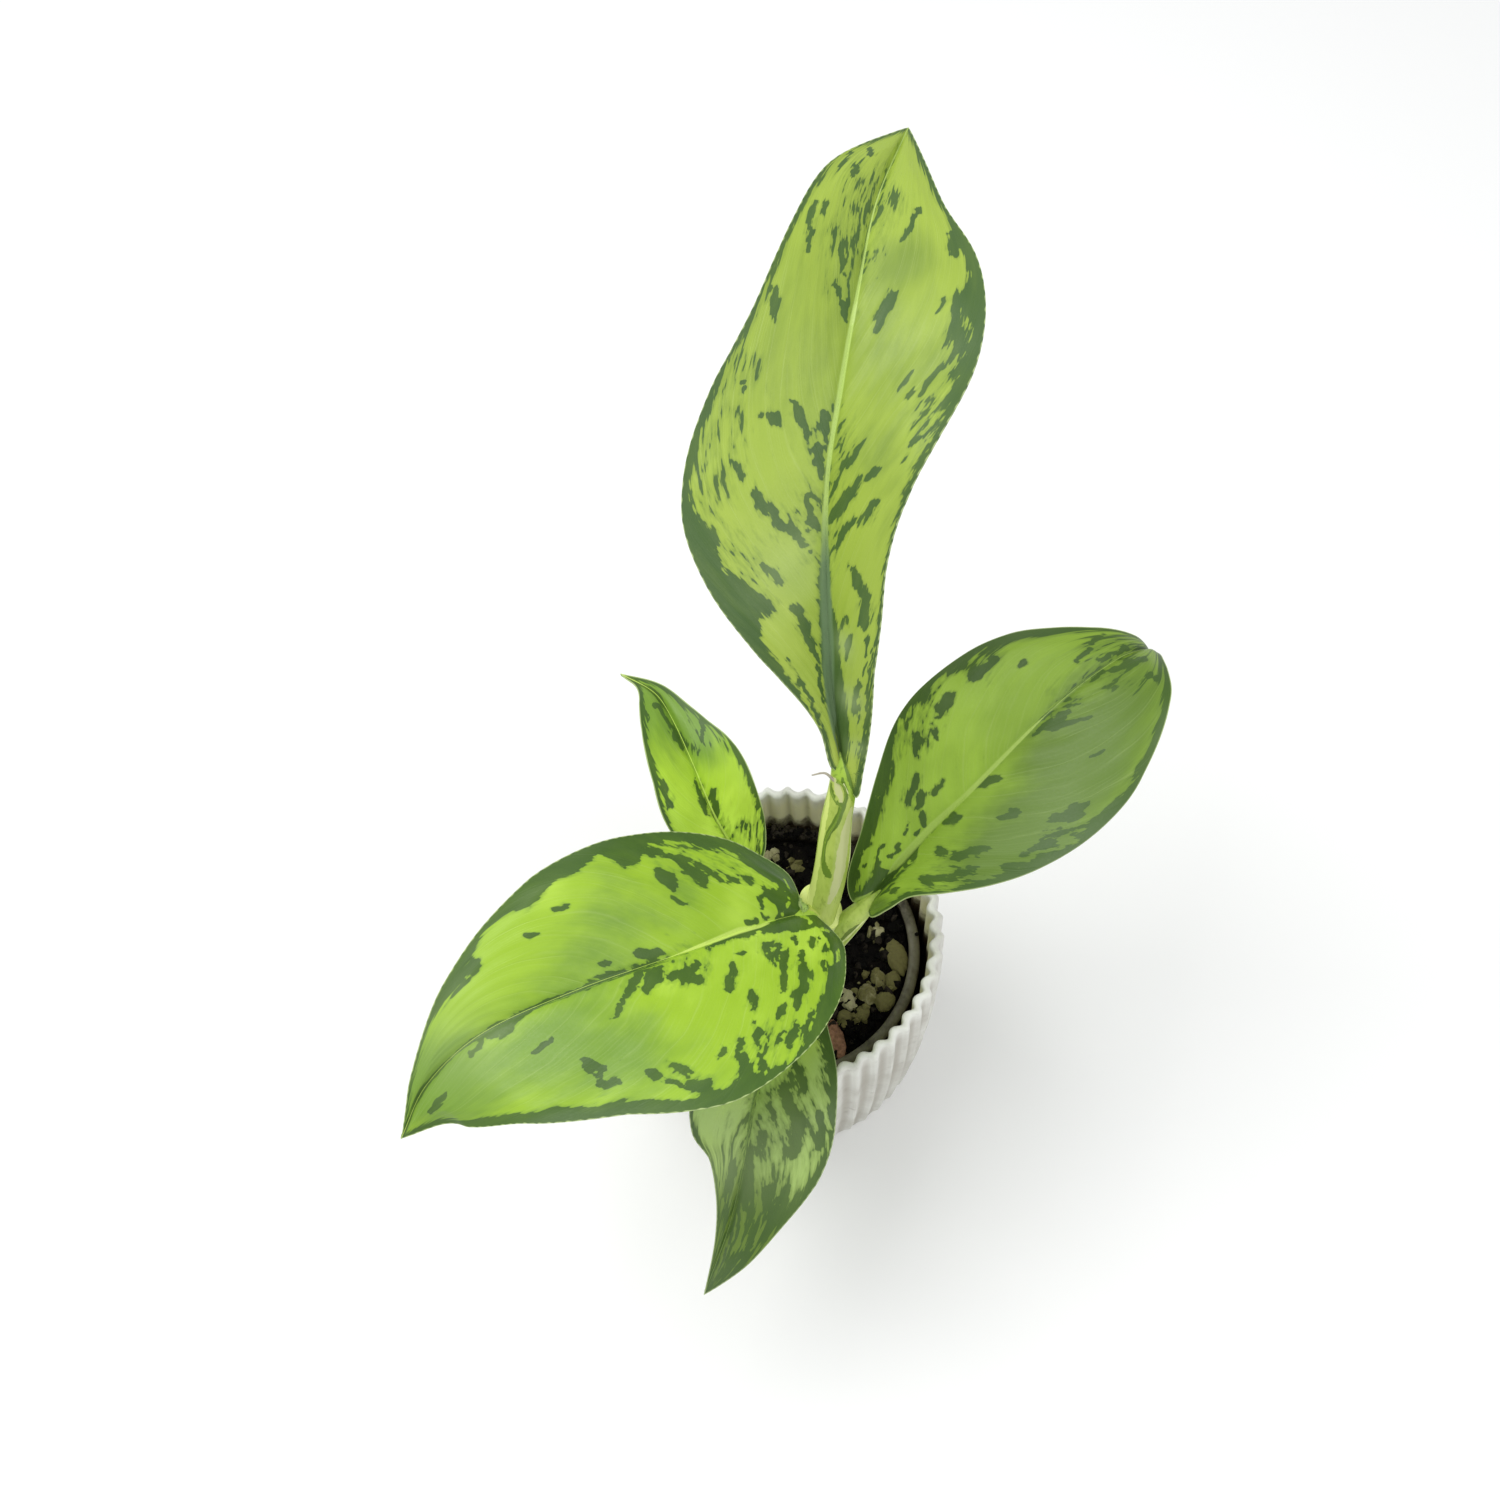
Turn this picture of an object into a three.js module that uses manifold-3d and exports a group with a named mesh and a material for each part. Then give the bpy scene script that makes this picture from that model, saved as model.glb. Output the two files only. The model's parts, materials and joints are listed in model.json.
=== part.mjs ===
// A young crocodile dumb cane in a small fluted pot. Millimetres, +Z up. The origin is
// the middle of the pot's flat base, +X is to the viewer's right and +Y points away.
import * as THREE from 'three';
import { mergeVertices } from 'three/addons/utils/BufferGeometryUtils.js';
import Module from 'manifold-3d';

const wasm = await Module();
wasm.setup();

// Driving dimensions
const SEAT_GAP = 0.3;

const POT = { height: 70, rimRadius: 43.2, baseRadius: 37.6, wall: 2.5, floor: 2.6, taper: 2.2 };
const FLUTES = { count: 48, depth: 0.75, perFlute: 4, turn: -1.5 };
const LINER = { rim: 57, rimRadius: 37.2, baseRadius: 27.5, wall: 1, step: 0.9, lip: 3, lipHeight: 2.4 };
const DRAIN = { count: 6, radius: 3, ring: 17 };
const SOIL = { level: 54.8, crumb: 1.3, rings: 9, segments: 36 };

const STEM = {
  path: [[-1, -8, 32], [2, -8, 54], [7, -8, 74], [12, -8, 91.7]],
  radii: [4.6, 4.9, 4.7, 4.3],
  nodes: [57, 65, 74, 84],
  nodeSwell: 0.45,
};

const BLADE = { thickness: 0.8, tooth: 0.5 };
const RIB_COLUMN = 0.09;
const COLUMNS = [RIB_COLUMN, 0.32, 0.56, 0.79, 1];

// One entry a leaf. midrib: the rib from the blade's base to its tip. petiole: the stalk
// up to the blade, with its radii. left, right: the flat outline of each half, as
// [distance along the rib, distance from it]. The folds lift each half, in degrees, at
// even steps along the rib, and the ripple waves the edges.
const LEAVES = [
  {
    name: 'leaf_top',
    petiole: [[12.1, -7.8, 92], [14, -4, 111], [16, 0.4, 129], [18, 5, 143]],
    petioleRadii: [4, 4.1, 3.6, 2.9],
    midrib: [[18, 5, 143], [17, 20, 167], [20, 46, 194], [26, 66, 206], [32, 85, 213],
      [39, 108, 215], [50, 134, 212]],
    left: [[0, 0], [3, 3], [13, 4.4], [22, 8.5], [34, 17.5], [48, 26.5], [62, 31], [82, 27.7],
      [101, 21.5], [121, 17.5], [138, 13.4], [151, 7.4], [164, 0]],
    right: [[0, 0], [-6, 2.8], [2, 5.6], [19, 10.7], [39, 16.5], [52, 18.7], [63, 22.2],
      [76, 28.3], [90, 30.7], [104, 29.7], [119, 24.5], [134, 16.3], [148, 9], [164, 0]],
    foldLeft: [30, 22, 12, 20, 25, 20],
    foldRight: [40, 48, 42, 20, 5, 10],
    ripple: { height: 0.8, waves: 3 },
    keel: 1.8,
    rows: 22,
    colour: 0xa9cb4a,
  },
  {
    name: 'leaf_right',
    petiole: [[7, -9, 63], [12.5, -9.6, 80], [18, -9.6, 92], [22, -9, 100]],
    petioleRadii: [3.4, 3.9, 3.8, 2.6],
    midrib: [[22, -9, 100], [34, -4, 118], [50, 4, 134], [70, 16, 146], [84, 24, 148],
      [92, 29, 143], [96, 32, 136]],
    left: [[0, 0], [-2, 3.5], [3, 8], [17, 12.9], [30, 18.7], [42, 23.6], [52, 25],
      [65, 23.4], [74, 19.8], [82, 14.2], [91, 8], [99, 4], [108, 0]],
    right: [[0, 0], [0, 4], [7, 6.8], [15, 9.1], [24, 15.4], [34, 21.8], [44, 26.4],
      [55, 28.8], [66, 28.1], [76, 25], [84, 20.9], [91, 15.4], [96, 9.6], [101, 4.5],
      [108, 0]],
    foldLeft: [35, 25, 15, 12, 25],
    foldRight: [25, 15, 5, 0, 22],
    ripple: { height: 0.7, waves: 2.5 },
    keel: 1.5,
    rows: 18,
    colour: 0x8fb648,
  },
  {
    name: 'leaf_left',
    petiole: [[2.5, -9.5, 72], [4.6, -10.6, 84], [7.6, -10.2, 95], [8, -9, 100]],
    petioleRadii: [3, 3.1, 2.7, 2.2],
    midrib: [[8, -9, 100], [-6, -16, 111], [-27, -26, 121], [-48, -33, 125],
      [-70, -40, 123], [-84, -48, 116], [-92, -57, 107]],
    left: [[0, 0], [-0.5, 3.5], [-0.8, 7.5], [0, 12.5], [4, 17.7], [11.5, 25], [20, 31], [32, 35.8],
      [45, 38.4], [54, 36.4], [68, 31], [88, 24.4], [104, 16.8], [115, 7.2], [123, 0]],
    right: [[0, 0], [3.4, 1.8], [2.4, 4.8], [4, 10.4], [12, 16.6], [21, 22.8], [32, 27.6], [43, 29.8],
      [54, 30], [67, 27.5], [79, 22.3], [91, 14.5], [102, 7.4], [113, 2.4], [123, 0]],
    foldLeft: [10, 0, -5],
    foldRight: [25, 25, 15],
    ripple: { height: 0.7, waves: 2.5 },
    keel: 1.6,
    rows: 18,
    colour: 0x9fc936,
  },
  {
    name: 'leaf_back',
    petiole: [[0.6, -5, 59], [-1.6, 0.5, 69], [-4, 5, 79], [-6, 9, 88]],
    petioleRadii: [2.5, 2.5, 2.2, 1.8],
    midrib: [[-6, 9, 88], [-13, 18, 103], [-17, 29, 111], [-21, 41, 114], [-25, 50, 114],
      [-34, 60, 110]],
    left: [[0, 0], [3, 4], [9, 9], [17, 12.9], [25, 14.1], [34, 12.6], [45, 9.8],
      [54, 6.2], [62, 1.8], [70, 0]],
    right: [[0, 0], [2, 5], [8, 9], [17, 11.9], [28, 13], [36, 11.2], [43, 7.6], [53, 3.8],
      [62, 1.6], [70, 0]],
    foldLeft: [30, 25, 20],
    foldRight: [25, 20, 15],
    ripple: { height: 0.5, waves: 2 },
    keel: 1.2,
    rows: 14,
    colour: 0x9cc540,
  },
  {
    name: 'leaf_front',
    petiole: [[1.5, -11.5, 58.5], [0.6, -16, 68], [-0.4, -20, 76], [-1, -23.5, 81]],
    petioleRadii: [2.4, 2.4, 2.1, 1.8],
    midrib: [[-1, -23.5, 81], [-4, -32, 88], [-8, -44, 92], [-12, -55, 91], [-15, -65, 86],
      [-20, -76, 74], [-29, -88, 55]],
    left: [[0, 0], [2, 6], [8, 11.5], [15, 14.6], [25, 18.6], [35, 20.7], [43, 20.2],
      [51, 17.2], [63, 11.5], [75, 7], [84, 3], [90, 0]],
    right: [[0, 0], [2, 6], [9, 11.8], [19, 15.6], [32, 17], [42, 14.4], [48, 8.8],
      [57, 5.4], [70, 2.6], [80, 1.1], [90, 0]],
    foldLeft: [10, 10, 5, 0],
    foldRight: [20, 32, 26, 10],
    ripple: { height: 0.5, waves: 2 },
    keel: 1.2,
    rows: 15,
    colour: 0x7fa548,
  },
];

// The thread that the sheath's tip dried to: its path and thickness
const THREAD = { path: [[16.4, 3.4, 141], [14.4, 4.4, 143.6], [11.6, 4.6, 143]], radius: 0.4 };

// Pumice grains that lie in the soil: [x, y, half length, half width, turn]
const GRAINS = [
  [30.5, -5.7, 4.2, 2.2, 97], [24.7, -11, 2.5, 1.6, 95], [28.6, -12.2, 2.1, 1.6, 80],
  [21.2, -15.4, 2.6, 1.9, 85], [25.6, -17.4, 2.4, 2, 60], [15.9, -15.8, 2.6, 1.6, 95],
  [26.2, 2.2, 1.7, 1.4, 30], [19, -20.2, 1.8, 1.5, 30], [14.3, -20.6, 1.7, 1.4, 0],
  [0, 29.6, 2, 1.5, 10], [6.2, 24.6, 1.3, 1.1, 50], [-20, -8, 3, 2.3, 40],
];
const BARK = { x: 11.3, y: -27, halfLength: 4.3, halfWidth: 1.9, halfHeight: 1.4, turn: 96 };

const COLOURS = {
  pot: 0xe6e6de,
  liner: 0x6e6a5d,
  soil: 0x16110d,
  stem: 0xb7c873,
  pumice: 0xa09a72,
  bark: 0x7a5a44,
};

// Repeatable pseudo-random numbers from 0 to 1
function seeded(seed) {
  let state = seed;
  return () => {
    state = (state * 16807) % 2147483647;
    return state / 2147483647;
  };
}

// A smooth curve through values at knots, for numbers or points; straight past its ends
function smooth(knots, values, at, scale, add) {
  const last = knots.length - 1;
  const slope = (i) => {
    const a = Math.max(i - 1, 0);
    const b = Math.min(i + 1, last);
    return scale(add(values[b], scale(values[a], -1)), 1 / (knots[b] - knots[a]));
  };
  if (at <= knots[0]) return add(values[0], scale(slope(0), at - knots[0]));
  if (at >= knots[last]) return add(values[last], scale(slope(last), at - knots[last]));
  let i = 0;
  while (at > knots[i + 1]) i += 1;
  const step = knots[i + 1] - knots[i];
  const t = (at - knots[i]) / step;
  const terms = [
    scale(values[i], 2 * t ** 3 - 3 * t ** 2 + 1),
    scale(slope(i), (t ** 3 - 2 * t ** 2 + t) * step),
    scale(values[i + 1], 3 * t ** 2 - 2 * t ** 3),
    scale(slope(i + 1), (t ** 3 - t ** 2) * step),
  ];
  return terms.reduce((sum, term) => add(sum, term));
}

function smoothNumber(knots, values, at) {
  return smooth(knots, values, at, (v, k) => v * k, (a, b) => a + b);
}

function smoothPoint(knots, points, at) {
  const scale = (v, k) => v.clone().multiplyScalar(k);
  return smooth(knots, points, at, scale, (a, b) => a.clone().add(b));
}

// A value given at even steps from 0 to length, held past both ends
function spread(values, length, at) {
  const knots = values.map((_, i) => (i * length) / (values.length - 1));
  return smoothNumber(knots, values, THREE.MathUtils.clamp(at, 0, length));
}

// A space curve through points, measured by its own length
function curveThrough(coordinates) {
  const points = coordinates.map((p) => new THREE.Vector3(...p));
  let knots = points.map((_, i) => i);
  const samples = 8;
  for (let round = 0; round < 3; round += 1) {
    const lengths = [0];
    for (let i = 1; i < points.length; i += 1) {
      let sum = 0;
      for (let j = 0; j < samples; j += 1) {
        const a = THREE.MathUtils.lerp(knots[i - 1], knots[i], j / samples);
        const b = THREE.MathUtils.lerp(knots[i - 1], knots[i], (j + 1) / samples);
        sum += smoothPoint(knots, points, a).distanceTo(smoothPoint(knots, points, b));
      }
      lengths.push(lengths[i - 1] + sum);
    }
    knots = lengths;
  }
  return { knots, length: knots.at(-1), at: (s) => smoothPoint(knots, points, s) };
}

// Rib position, its direction, and the directions to the right of it and up from it
function frameOn(rib, s) {
  const reach = 0.5;
  const along = rib.at(s + reach).sub(rib.at(s - reach)).normalize();
  const side = new THREE.Vector3().crossVectors(along, new THREE.Vector3(0, 0, 1)).normalize();
  const up = new THREE.Vector3().crossVectors(side, along);
  return { origin: rib.at(s), along, side, up };
}

// Where the flat leaf's point (s along the rib, w to its right) lies on the bent leaf
function bent(leaf, rib, s, w) {
  const { origin, side, up } = frameOn(rib, s);
  const half = Math.max(...leaf.left.map((p) => p[1]), ...leaf.right.map((p) => p[1]));
  const fold = spread(w > 0 ? leaf.foldRight : leaf.foldLeft, rib.length, s);
  const angle = THREE.MathUtils.degToRad(fold);
  const phase = (2 * Math.PI * leaf.ripple.waves * s) / rib.length + (w > 0 ? 0 : 1.7);
  const lift = leaf.ripple.height * Math.sin(phase) * (w / half) ** 2;
  const out = Math.abs(w);
  return origin
    .addScaledVector(side, w * Math.cos(angle))
    .addScaledVector(up, out * Math.sin(angle) + lift);
}

// Outline of one half as a function from 0 at the base to 1 at the tip
function outlineOf(points) {
  const flat = points.map(([s, w]) => new THREE.Vector3(s, w, 0));
  const knots = [0];
  for (let i = 1; i < flat.length; i += 1) {
    knots.push(knots[i - 1] + flat[i].distanceTo(flat[i - 1]));
  }
  return (t) => smoothPoint(knots, flat, t * knots.at(-1));
}

// The blade: both faces share one grid, so that they stay parallel in every wave
function bladeGeometry(leaf) {
  const rib = curveThrough(leaf.midrib);
  const outlines = [outlineOf(leaf.left), outlineOf(leaf.right)];
  const ribPace = 1.25;
  const grid = [];
  for (let row = 1; row < leaf.rows; row += 1) {
    const t = row / leaf.rows;
    const foot = rib.length * t ** ribPace;
    const line = [];
    for (const sign of [-1, 1]) {
      const edge = outlines[sign > 0 ? 1 : 0](t);
      for (const part of COLUMNS) {
        const s = THREE.MathUtils.lerp(foot, edge.x, part);
        line.push([s, sign * edge.y * part]);
      }
    }
    const left = line.slice(0, COLUMNS.length).reverse();
    grid.push([...left, [foot, 0], ...line.slice(COLUMNS.length)]);
  }
  const width = 2 * COLUMNS.length + 1;
  const middle = COLUMNS.length;
  const place = ([s, w]) => bent(leaf, rib, s, w);
  const reach = 0.4;
  const normalAt = ([s, w]) => {
    const out = w < 0 ? -1 : 1;
    const across = place([s, w + out * reach]).sub(place([s, w])).multiplyScalar(out);
    const along = place([s + reach, w]).sub(place([s - reach, w]));
    return across.cross(along).normalize();
  };
  const top = [];
  const bottom = [];
  const put = (flat, depth) => {
    const point = place(flat);
    const { up } = frameOn(rib, flat[0]);
    const normal = flat[1] === 0 ? up : normalAt(flat);
    top.push(point);
    bottom.push(point.clone().addScaledVector(normal, -depth));
  };
  const ends = [[0, 0], [rib.length, 0]];
  ends.forEach((flat) => put(flat, BLADE.thickness));
  grid.forEach((line, row) => {
    const fade = 1 - ((row + 1) / leaf.rows) ** 1.5;
    line.forEach((flat, column) => {
      const keel = leaf.keel * fade + (row % 2) * BLADE.tooth;
      put(flat, BLADE.thickness + (column === middle ? keel : 0));
    });
  });
  const points = [...top, ...bottom];
  const under = top.length;
  const index = (row, column) => 2 + row * width + column;
  const faces = [];
  const both = (a, b, c) => {
    faces.push([a, b, c]);
    faces.push([a + under, c + under, b + under]);
  };
  const lastRow = grid.length - 1;
  for (let column = 0; column < width - 1; column += 1) {
    both(0, index(0, column + 1), index(0, column));
    both(1, index(lastRow, column), index(lastRow, column + 1));
    for (let row = 0; row < lastRow; row += 1) {
      const [a, b] = [index(row, column), index(row, column + 1)];
      const [c, d] = [index(row + 1, column), index(row + 1, column + 1)];
      if (column < middle) {
        both(a, b, d);
        both(a, d, c);
      } else {
        both(a, b, c);
        both(b, d, c);
      }
    }
  }
  const rim = [0];
  for (let row = 0; row <= lastRow; row += 1) rim.push(index(row, width - 1));
  rim.push(1);
  for (let row = lastRow; row >= 0; row -= 1) rim.push(index(row, 0));
  rim.forEach((a, i) => {
    const b = rim[(i + 1) % rim.length];
    faces.push([b, a, a + under]);
    faces.push([b, a + under, b + under]);
  });
  return geometryFrom(points, faces);
}

function geometryFrom(points, faces) {
  const geometry = new THREE.BufferGeometry();
  geometry.setAttribute('position', new THREE.Float32BufferAttribute(
    points.flatMap((p) => [p.x, p.y, p.z]), 3));
  geometry.setIndex(faces.flat());
  return geometry;
}

// A round rod along a curve, with a radius for each point of the curve
function rodGeometry(path, radiusAt, stations, sides) {
  const curve = curveThrough(path);
  const points = [];
  const faces = [];
  const flatX = new THREE.Vector3(1, 0, 0);
  stations.forEach((share) => {
    const s = share * curve.length;
    const along = curve.at(s + 0.5).sub(curve.at(s - 0.5)).normalize();
    const up = new THREE.Vector3().crossVectors(flatX, along).normalize();
    const side = new THREE.Vector3().crossVectors(along, up).normalize();
    for (let i = 0; i < sides; i += 1) {
      const angle = (2 * Math.PI * i) / sides;
      points.push(curve.at(s)
        .addScaledVector(side, radiusAt(share, s) * Math.cos(angle))
        .addScaledVector(up, radiusAt(share, s) * Math.sin(angle)));
    }
  });
  const rings = stations.length;
  for (let i = 0; i < sides; i += 1) {
    const j = (i + 1) % sides;
    for (let ring = 0; ring < rings - 1; ring += 1) {
      const [a, b] = [ring * sides + i, ring * sides + j];
      faces.push([a, a + sides, b]);
      faces.push([b, a + sides, b + sides]);
    }
    if (i > 0 && j > 0) faces.push([0, i, j]);
    const end = (rings - 1) * sides;
    if (i > 0 && j > 0) faces.push([end, end + j, end + i]);
  }
  return geometryFrom(points, faces);
}

function evenly(count) {
  return Array.from({ length: count + 1 }, (_, i) => i / count);
}

function petioleSolid(leaf, grow) {
  const steps = leaf.petioleRadii.map((_, i) => i / (leaf.petioleRadii.length - 1));
  const rib = curveThrough(leaf.midrib);
  const intoBlade = rib.at(8).addScaledVector(frameOn(rib, 8).up, -leaf.keel);
  const path = [...leaf.petiole.slice(0, -1),
    new THREE.Vector3(...leaf.petiole.at(-1)).add(new THREE.Vector3(0, 0, -1)).toArray(),
    intoBlade.toArray()];
  const share = curveThrough(path).knots.at(-2) / curveThrough(path).length;
  const radius = (at) => {
    const past = (at - share) / (1 - share);
    if (past >= 0) return THREE.MathUtils.lerp(leaf.petioleRadii.at(-1), 1, past);
    return smoothNumber(steps, leaf.petioleRadii, at / share);
  };
  return solid(rodGeometry(path, (at) => radius(at) + grow, evenly(12), 12));
}

function stemSolid(grow) {
  const curve = curveThrough(STEM.path);
  const steps = curve.knots.map((s) => s / curve.length);
  const swell = (s) => {
    const height = curve.at(s).z;
    return STEM.nodes.reduce((sum, z) => sum + Math.exp(-((height - z) ** 2) / 1.2), 0);
  };
  const radius = (share, s) => smoothNumber(steps, STEM.radii, share)
    + STEM.nodeSwell * Math.min(swell(s), 1) + grow;
  return solid(rodGeometry(STEM.path, radius, evenly(32), 12));
}

function solid(geometry) {
  geometry.deleteAttribute('normal');
  geometry.deleteAttribute('uv');
  const welded = mergeVertices(geometry);
  const index = welded.index.array;
  const faces = [];
  for (let i = 0; i < index.length; i += 3) {
    const [a, b, c] = [index[i], index[i + 1], index[i + 2]];
    if (a !== b && b !== c && c !== a) faces.push(a, b, c);
  }
  return new wasm.Manifold(new wasm.Mesh({
    numProp: 3,
    vertProperties: new Float32Array(welded.attributes.position.array),
    triVerts: new Uint32Array(faces),
  }));
}

// The biggest piece of a cut solid, without its scraps
function mainPiece(body) {
  return body.decompose().sort((a, b) => b.volume() - a.volume())[0];
}

function meshFrom(body, name, colour, roughness, metalness = 0) {
  const { vertProperties, triVerts } = body.getMesh();
  const geometry = new THREE.BufferGeometry();
  geometry.setAttribute('position', new THREE.BufferAttribute(vertProperties, 3));
  geometry.setIndex(new THREE.BufferAttribute(triVerts, 1));
  geometry.computeVertexNormals();
  const material = new THREE.MeshStandardMaterial({ color: colour, roughness, metalness });
  const mesh = new THREE.Mesh(geometry, material);
  mesh.name = name;
  return mesh;
}

// Radius of the pot's wall at its mid-line, which narrows faster toward the base
function potRadius(z) {
  const drop = ((POT.height - z) / POT.height) ** POT.taper;
  return POT.rimRadius - FLUTES.depth - POT.wall / 2 - (POT.rimRadius - POT.baseRadius) * drop;
}

function outerPot() {
  const half = POT.wall / 2;
  const outerLevels = [4, 18, 36, 54, POT.height];
  const innerLevels = [POT.height, 54, 36, 18, 5];
  const chamfer = 2;
  const profile = [
    new THREE.Vector2(0, 0),
    new THREE.Vector2(potRadius(0) - chamfer, 0),
    ...outerLevels.map((z) => new THREE.Vector2(potRadius(z) + half, z)),
    ...innerLevels.map((z) => new THREE.Vector2(potRadius(z) - half, z)),
    new THREE.Vector2(potRadius(POT.floor) - chamfer - POT.wall, POT.floor),
    new THREE.Vector2(0, POT.floor),
  ];
  const geometry = new THREE.LatheGeometry(profile, FLUTES.count * FLUTES.perFlute);
  const position = geometry.attributes.position;
  for (let i = 0; i < position.count; i += 1) {
    const [x, y, z] = [position.getX(i), position.getY(i), position.getZ(i)];
    const radius = Math.hypot(x, z);
    const angle = Math.atan2(z, x);
    const share = y > POT.floor ? 1 : 0;
    const grown = radius + share * FLUTES.depth * Math.cos(FLUTES.count * angle);
    const scale = radius > 0 ? grown / radius : 0;
    position.setXYZ(i, x * scale, y, z * scale);
  }
  geometry.rotateX(Math.PI / 2);
  geometry.rotateZ(THREE.MathUtils.degToRad(FLUTES.turn));
  return solid(geometry);
}

// A turned solid: the profile is [radius, height] from axis to axis
function turned(profile, segments) {
  const points = profile.map(([r, z]) => new THREE.Vector2(r, z));
  const geometry = new THREE.LatheGeometry(points, segments);
  geometry.rotateX(Math.PI / 2);
  return solid(geometry);
}

const linerFoot = POT.floor + SEAT_GAP;
const linerFloorTop = linerFoot + LINER.wall;

function linerRadius(z) {
  const share = (z - linerFoot) / (LINER.rim - linerFoot);
  return THREE.MathUtils.lerp(LINER.baseRadius, LINER.rimRadius - LINER.step, share);
}

function nurseryPot() {
  const lipFoot = LINER.rim - LINER.lipHeight;
  let body = turned([
    [0, linerFoot],
    [LINER.baseRadius, linerFoot],
    [linerRadius(lipFoot), lipFoot],
    [LINER.rimRadius, lipFoot],
    [LINER.rimRadius, LINER.rim],
    [LINER.rimRadius - LINER.lip, LINER.rim],
    [linerRadius(lipFoot) - LINER.wall, lipFoot - LINER.wall],
    [LINER.baseRadius - LINER.wall, linerFloorTop],
    [0, linerFloorTop],
  ], 48);
  for (let i = 0; i < DRAIN.count; i += 1) {
    const angle = (2 * Math.PI * i) / DRAIN.count;
    const hole = new THREE.CylinderGeometry(DRAIN.radius, DRAIN.radius, 4 * LINER.wall, 12);
    hole.rotateX(Math.PI / 2);
    hole.translate(DRAIN.ring * Math.cos(angle), DRAIN.ring * Math.sin(angle), linerFoot);
    body = body.subtract(solid(hole));
  }
  return body;
}

// Crumbly ground: a sum of waves that looks irregular
function crumbs(x, y) {
  return SOIL.crumb * (0.45 * Math.sin(0.9 * x + 1.7 * Math.sin(0.5 * y))
    + 0.35 * Math.sin(1.3 * y + 2.1 * Math.sin(0.7 * x + 1))
    + 0.2 * Math.sin(2.3 * x - 1.9 * y));
}

function soilBody() {
  const wallRadius = (z) => linerRadius(z) - LINER.wall - 2 * SEAT_GAP;
  const edge = wallRadius(SOIL.level - 2);
  const profile = [[0, linerFloorTop + SEAT_GAP],
    [wallRadius(linerFloorTop), linerFloorTop + SEAT_GAP], [edge, SOIL.level - 2]];
  for (let ring = SOIL.rings; ring >= 0; ring -= 1) {
    profile.push([(edge * ring) / (SOIL.rings + 0.5), SOIL.level]);
  }
  const points = profile.map(([r, z]) => new THREE.Vector2(r, z));
  const geometry = new THREE.LatheGeometry(points, SOIL.segments);
  geometry.rotateX(Math.PI / 2);
  const position = geometry.attributes.position;
  for (let i = 0; i < position.count; i += 1) {
    const z = position.getZ(i);
    if (Math.abs(z - SOIL.level) < 0.01) {
      position.setZ(i, z + crumbs(position.getX(i), position.getY(i)));
    }
  }
  return solid(geometry);
}

// An irregular lump with its long side turned about the vertical, sunk by half
function lump(x, y, size, turn, seed, grow) {
  const random = seeded(seed);
  const geometry = mergeVertices(bare(new THREE.IcosahedronGeometry(1, 1)));
  const position = geometry.attributes.position;
  for (let i = 0; i < position.count; i += 1) {
    const swell = 0.86 + 0.26 * random();
    position.setXYZ(i, position.getX(i) * (size[0] * swell + grow),
      position.getY(i) * (size[1] * swell + grow), position.getZ(i) * (size[2] * swell + grow));
  }
  geometry.rotateZ(THREE.MathUtils.degToRad(turn));
  geometry.translate(x, y, SOIL.level + size[2] * 0.35);
  return solid(geometry);
}

function bare(geometry) {
  geometry.deleteAttribute('normal');
  geometry.deleteAttribute('uv');
  return geometry;
}

function leafSolid(leaf) {
  return solid(bladeGeometry(leaf)).add(petioleSolid(leaf, 0));
}

function threadSolid() {
  return solid(rodGeometry(THREAD.path, () => THREAD.radius, evenly(5), 6));
}

const plant = new THREE.Group();
plant.name = 'potted_crocodile_dumb_cane';

plant.add(meshFrom(outerPot(), 'outer_pot', COLOURS.pot, 0.35));
plant.add(meshFrom(nurseryPot(), 'nursery_pot', COLOURS.liner, 0.5));

// Stones and bark sit in pockets of the soil, and the cane in a plain hole
const stones = GRAINS.map(([x, y, long, wide, turn], i) => {
  const size = [long, wide, wide * 0.8];
  return { name: `pumice_${i + 1}`, args: [x, y, size, turn, 11 + i], colour: COLOURS.pumice };
});
const barkSize = [BARK.halfLength, BARK.halfWidth, BARK.halfHeight];
const bark = { name: 'bark_chip', args: [BARK.x, BARK.y, barkSize, BARK.turn, 5], colour: COLOURS.bark };
let soil = soilBody().subtract(stemSolid(SEAT_GAP));
for (const stone of [...stones, bark]) {
  soil = soil.subtract(lump(...stone.args, SEAT_GAP));
  plant.add(meshFrom(lump(...stone.args, 0), stone.name, stone.colour, 0.95));
}
plant.add(meshFrom(mainPiece(soil), 'soil', COLOURS.soil, 1));
plant.add(meshFrom(stemSolid(0), 'stem', COLOURS.stem, 0.5));

// Each leaf is cut clear of the stem and of the stalks before it
const cutters = [stemSolid(SEAT_GAP)];
for (const leaf of LEAVES) {
  let body = leafSolid(leaf);
  if (leaf.name === 'leaf_top') body = body.add(threadSolid());
  for (const cutter of cutters) body = body.subtract(cutter);
  plant.add(meshFrom(mainPiece(body), leaf.name, leaf.colour, 0.4));
  cutters.push(petioleSolid(leaf, SEAT_GAP));
}

export default plant;
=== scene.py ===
"""Finishes a young crocodile dumb cane, in its fluted pot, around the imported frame.

Sizes are in millimetres unless a name says otherwise, and meshes are written in metres.
The origin is the middle of the pot's base, +X is to the right and +Y points away.
"""

import json
import logging
import math
from contextlib import contextmanager
from dataclasses import dataclass, field, replace
from enum import Enum
from typing import Callable, Iterator, Optional, Sequence, Union

import bpy
import numpy as np
from mathutils import Matrix, Vector

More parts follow.
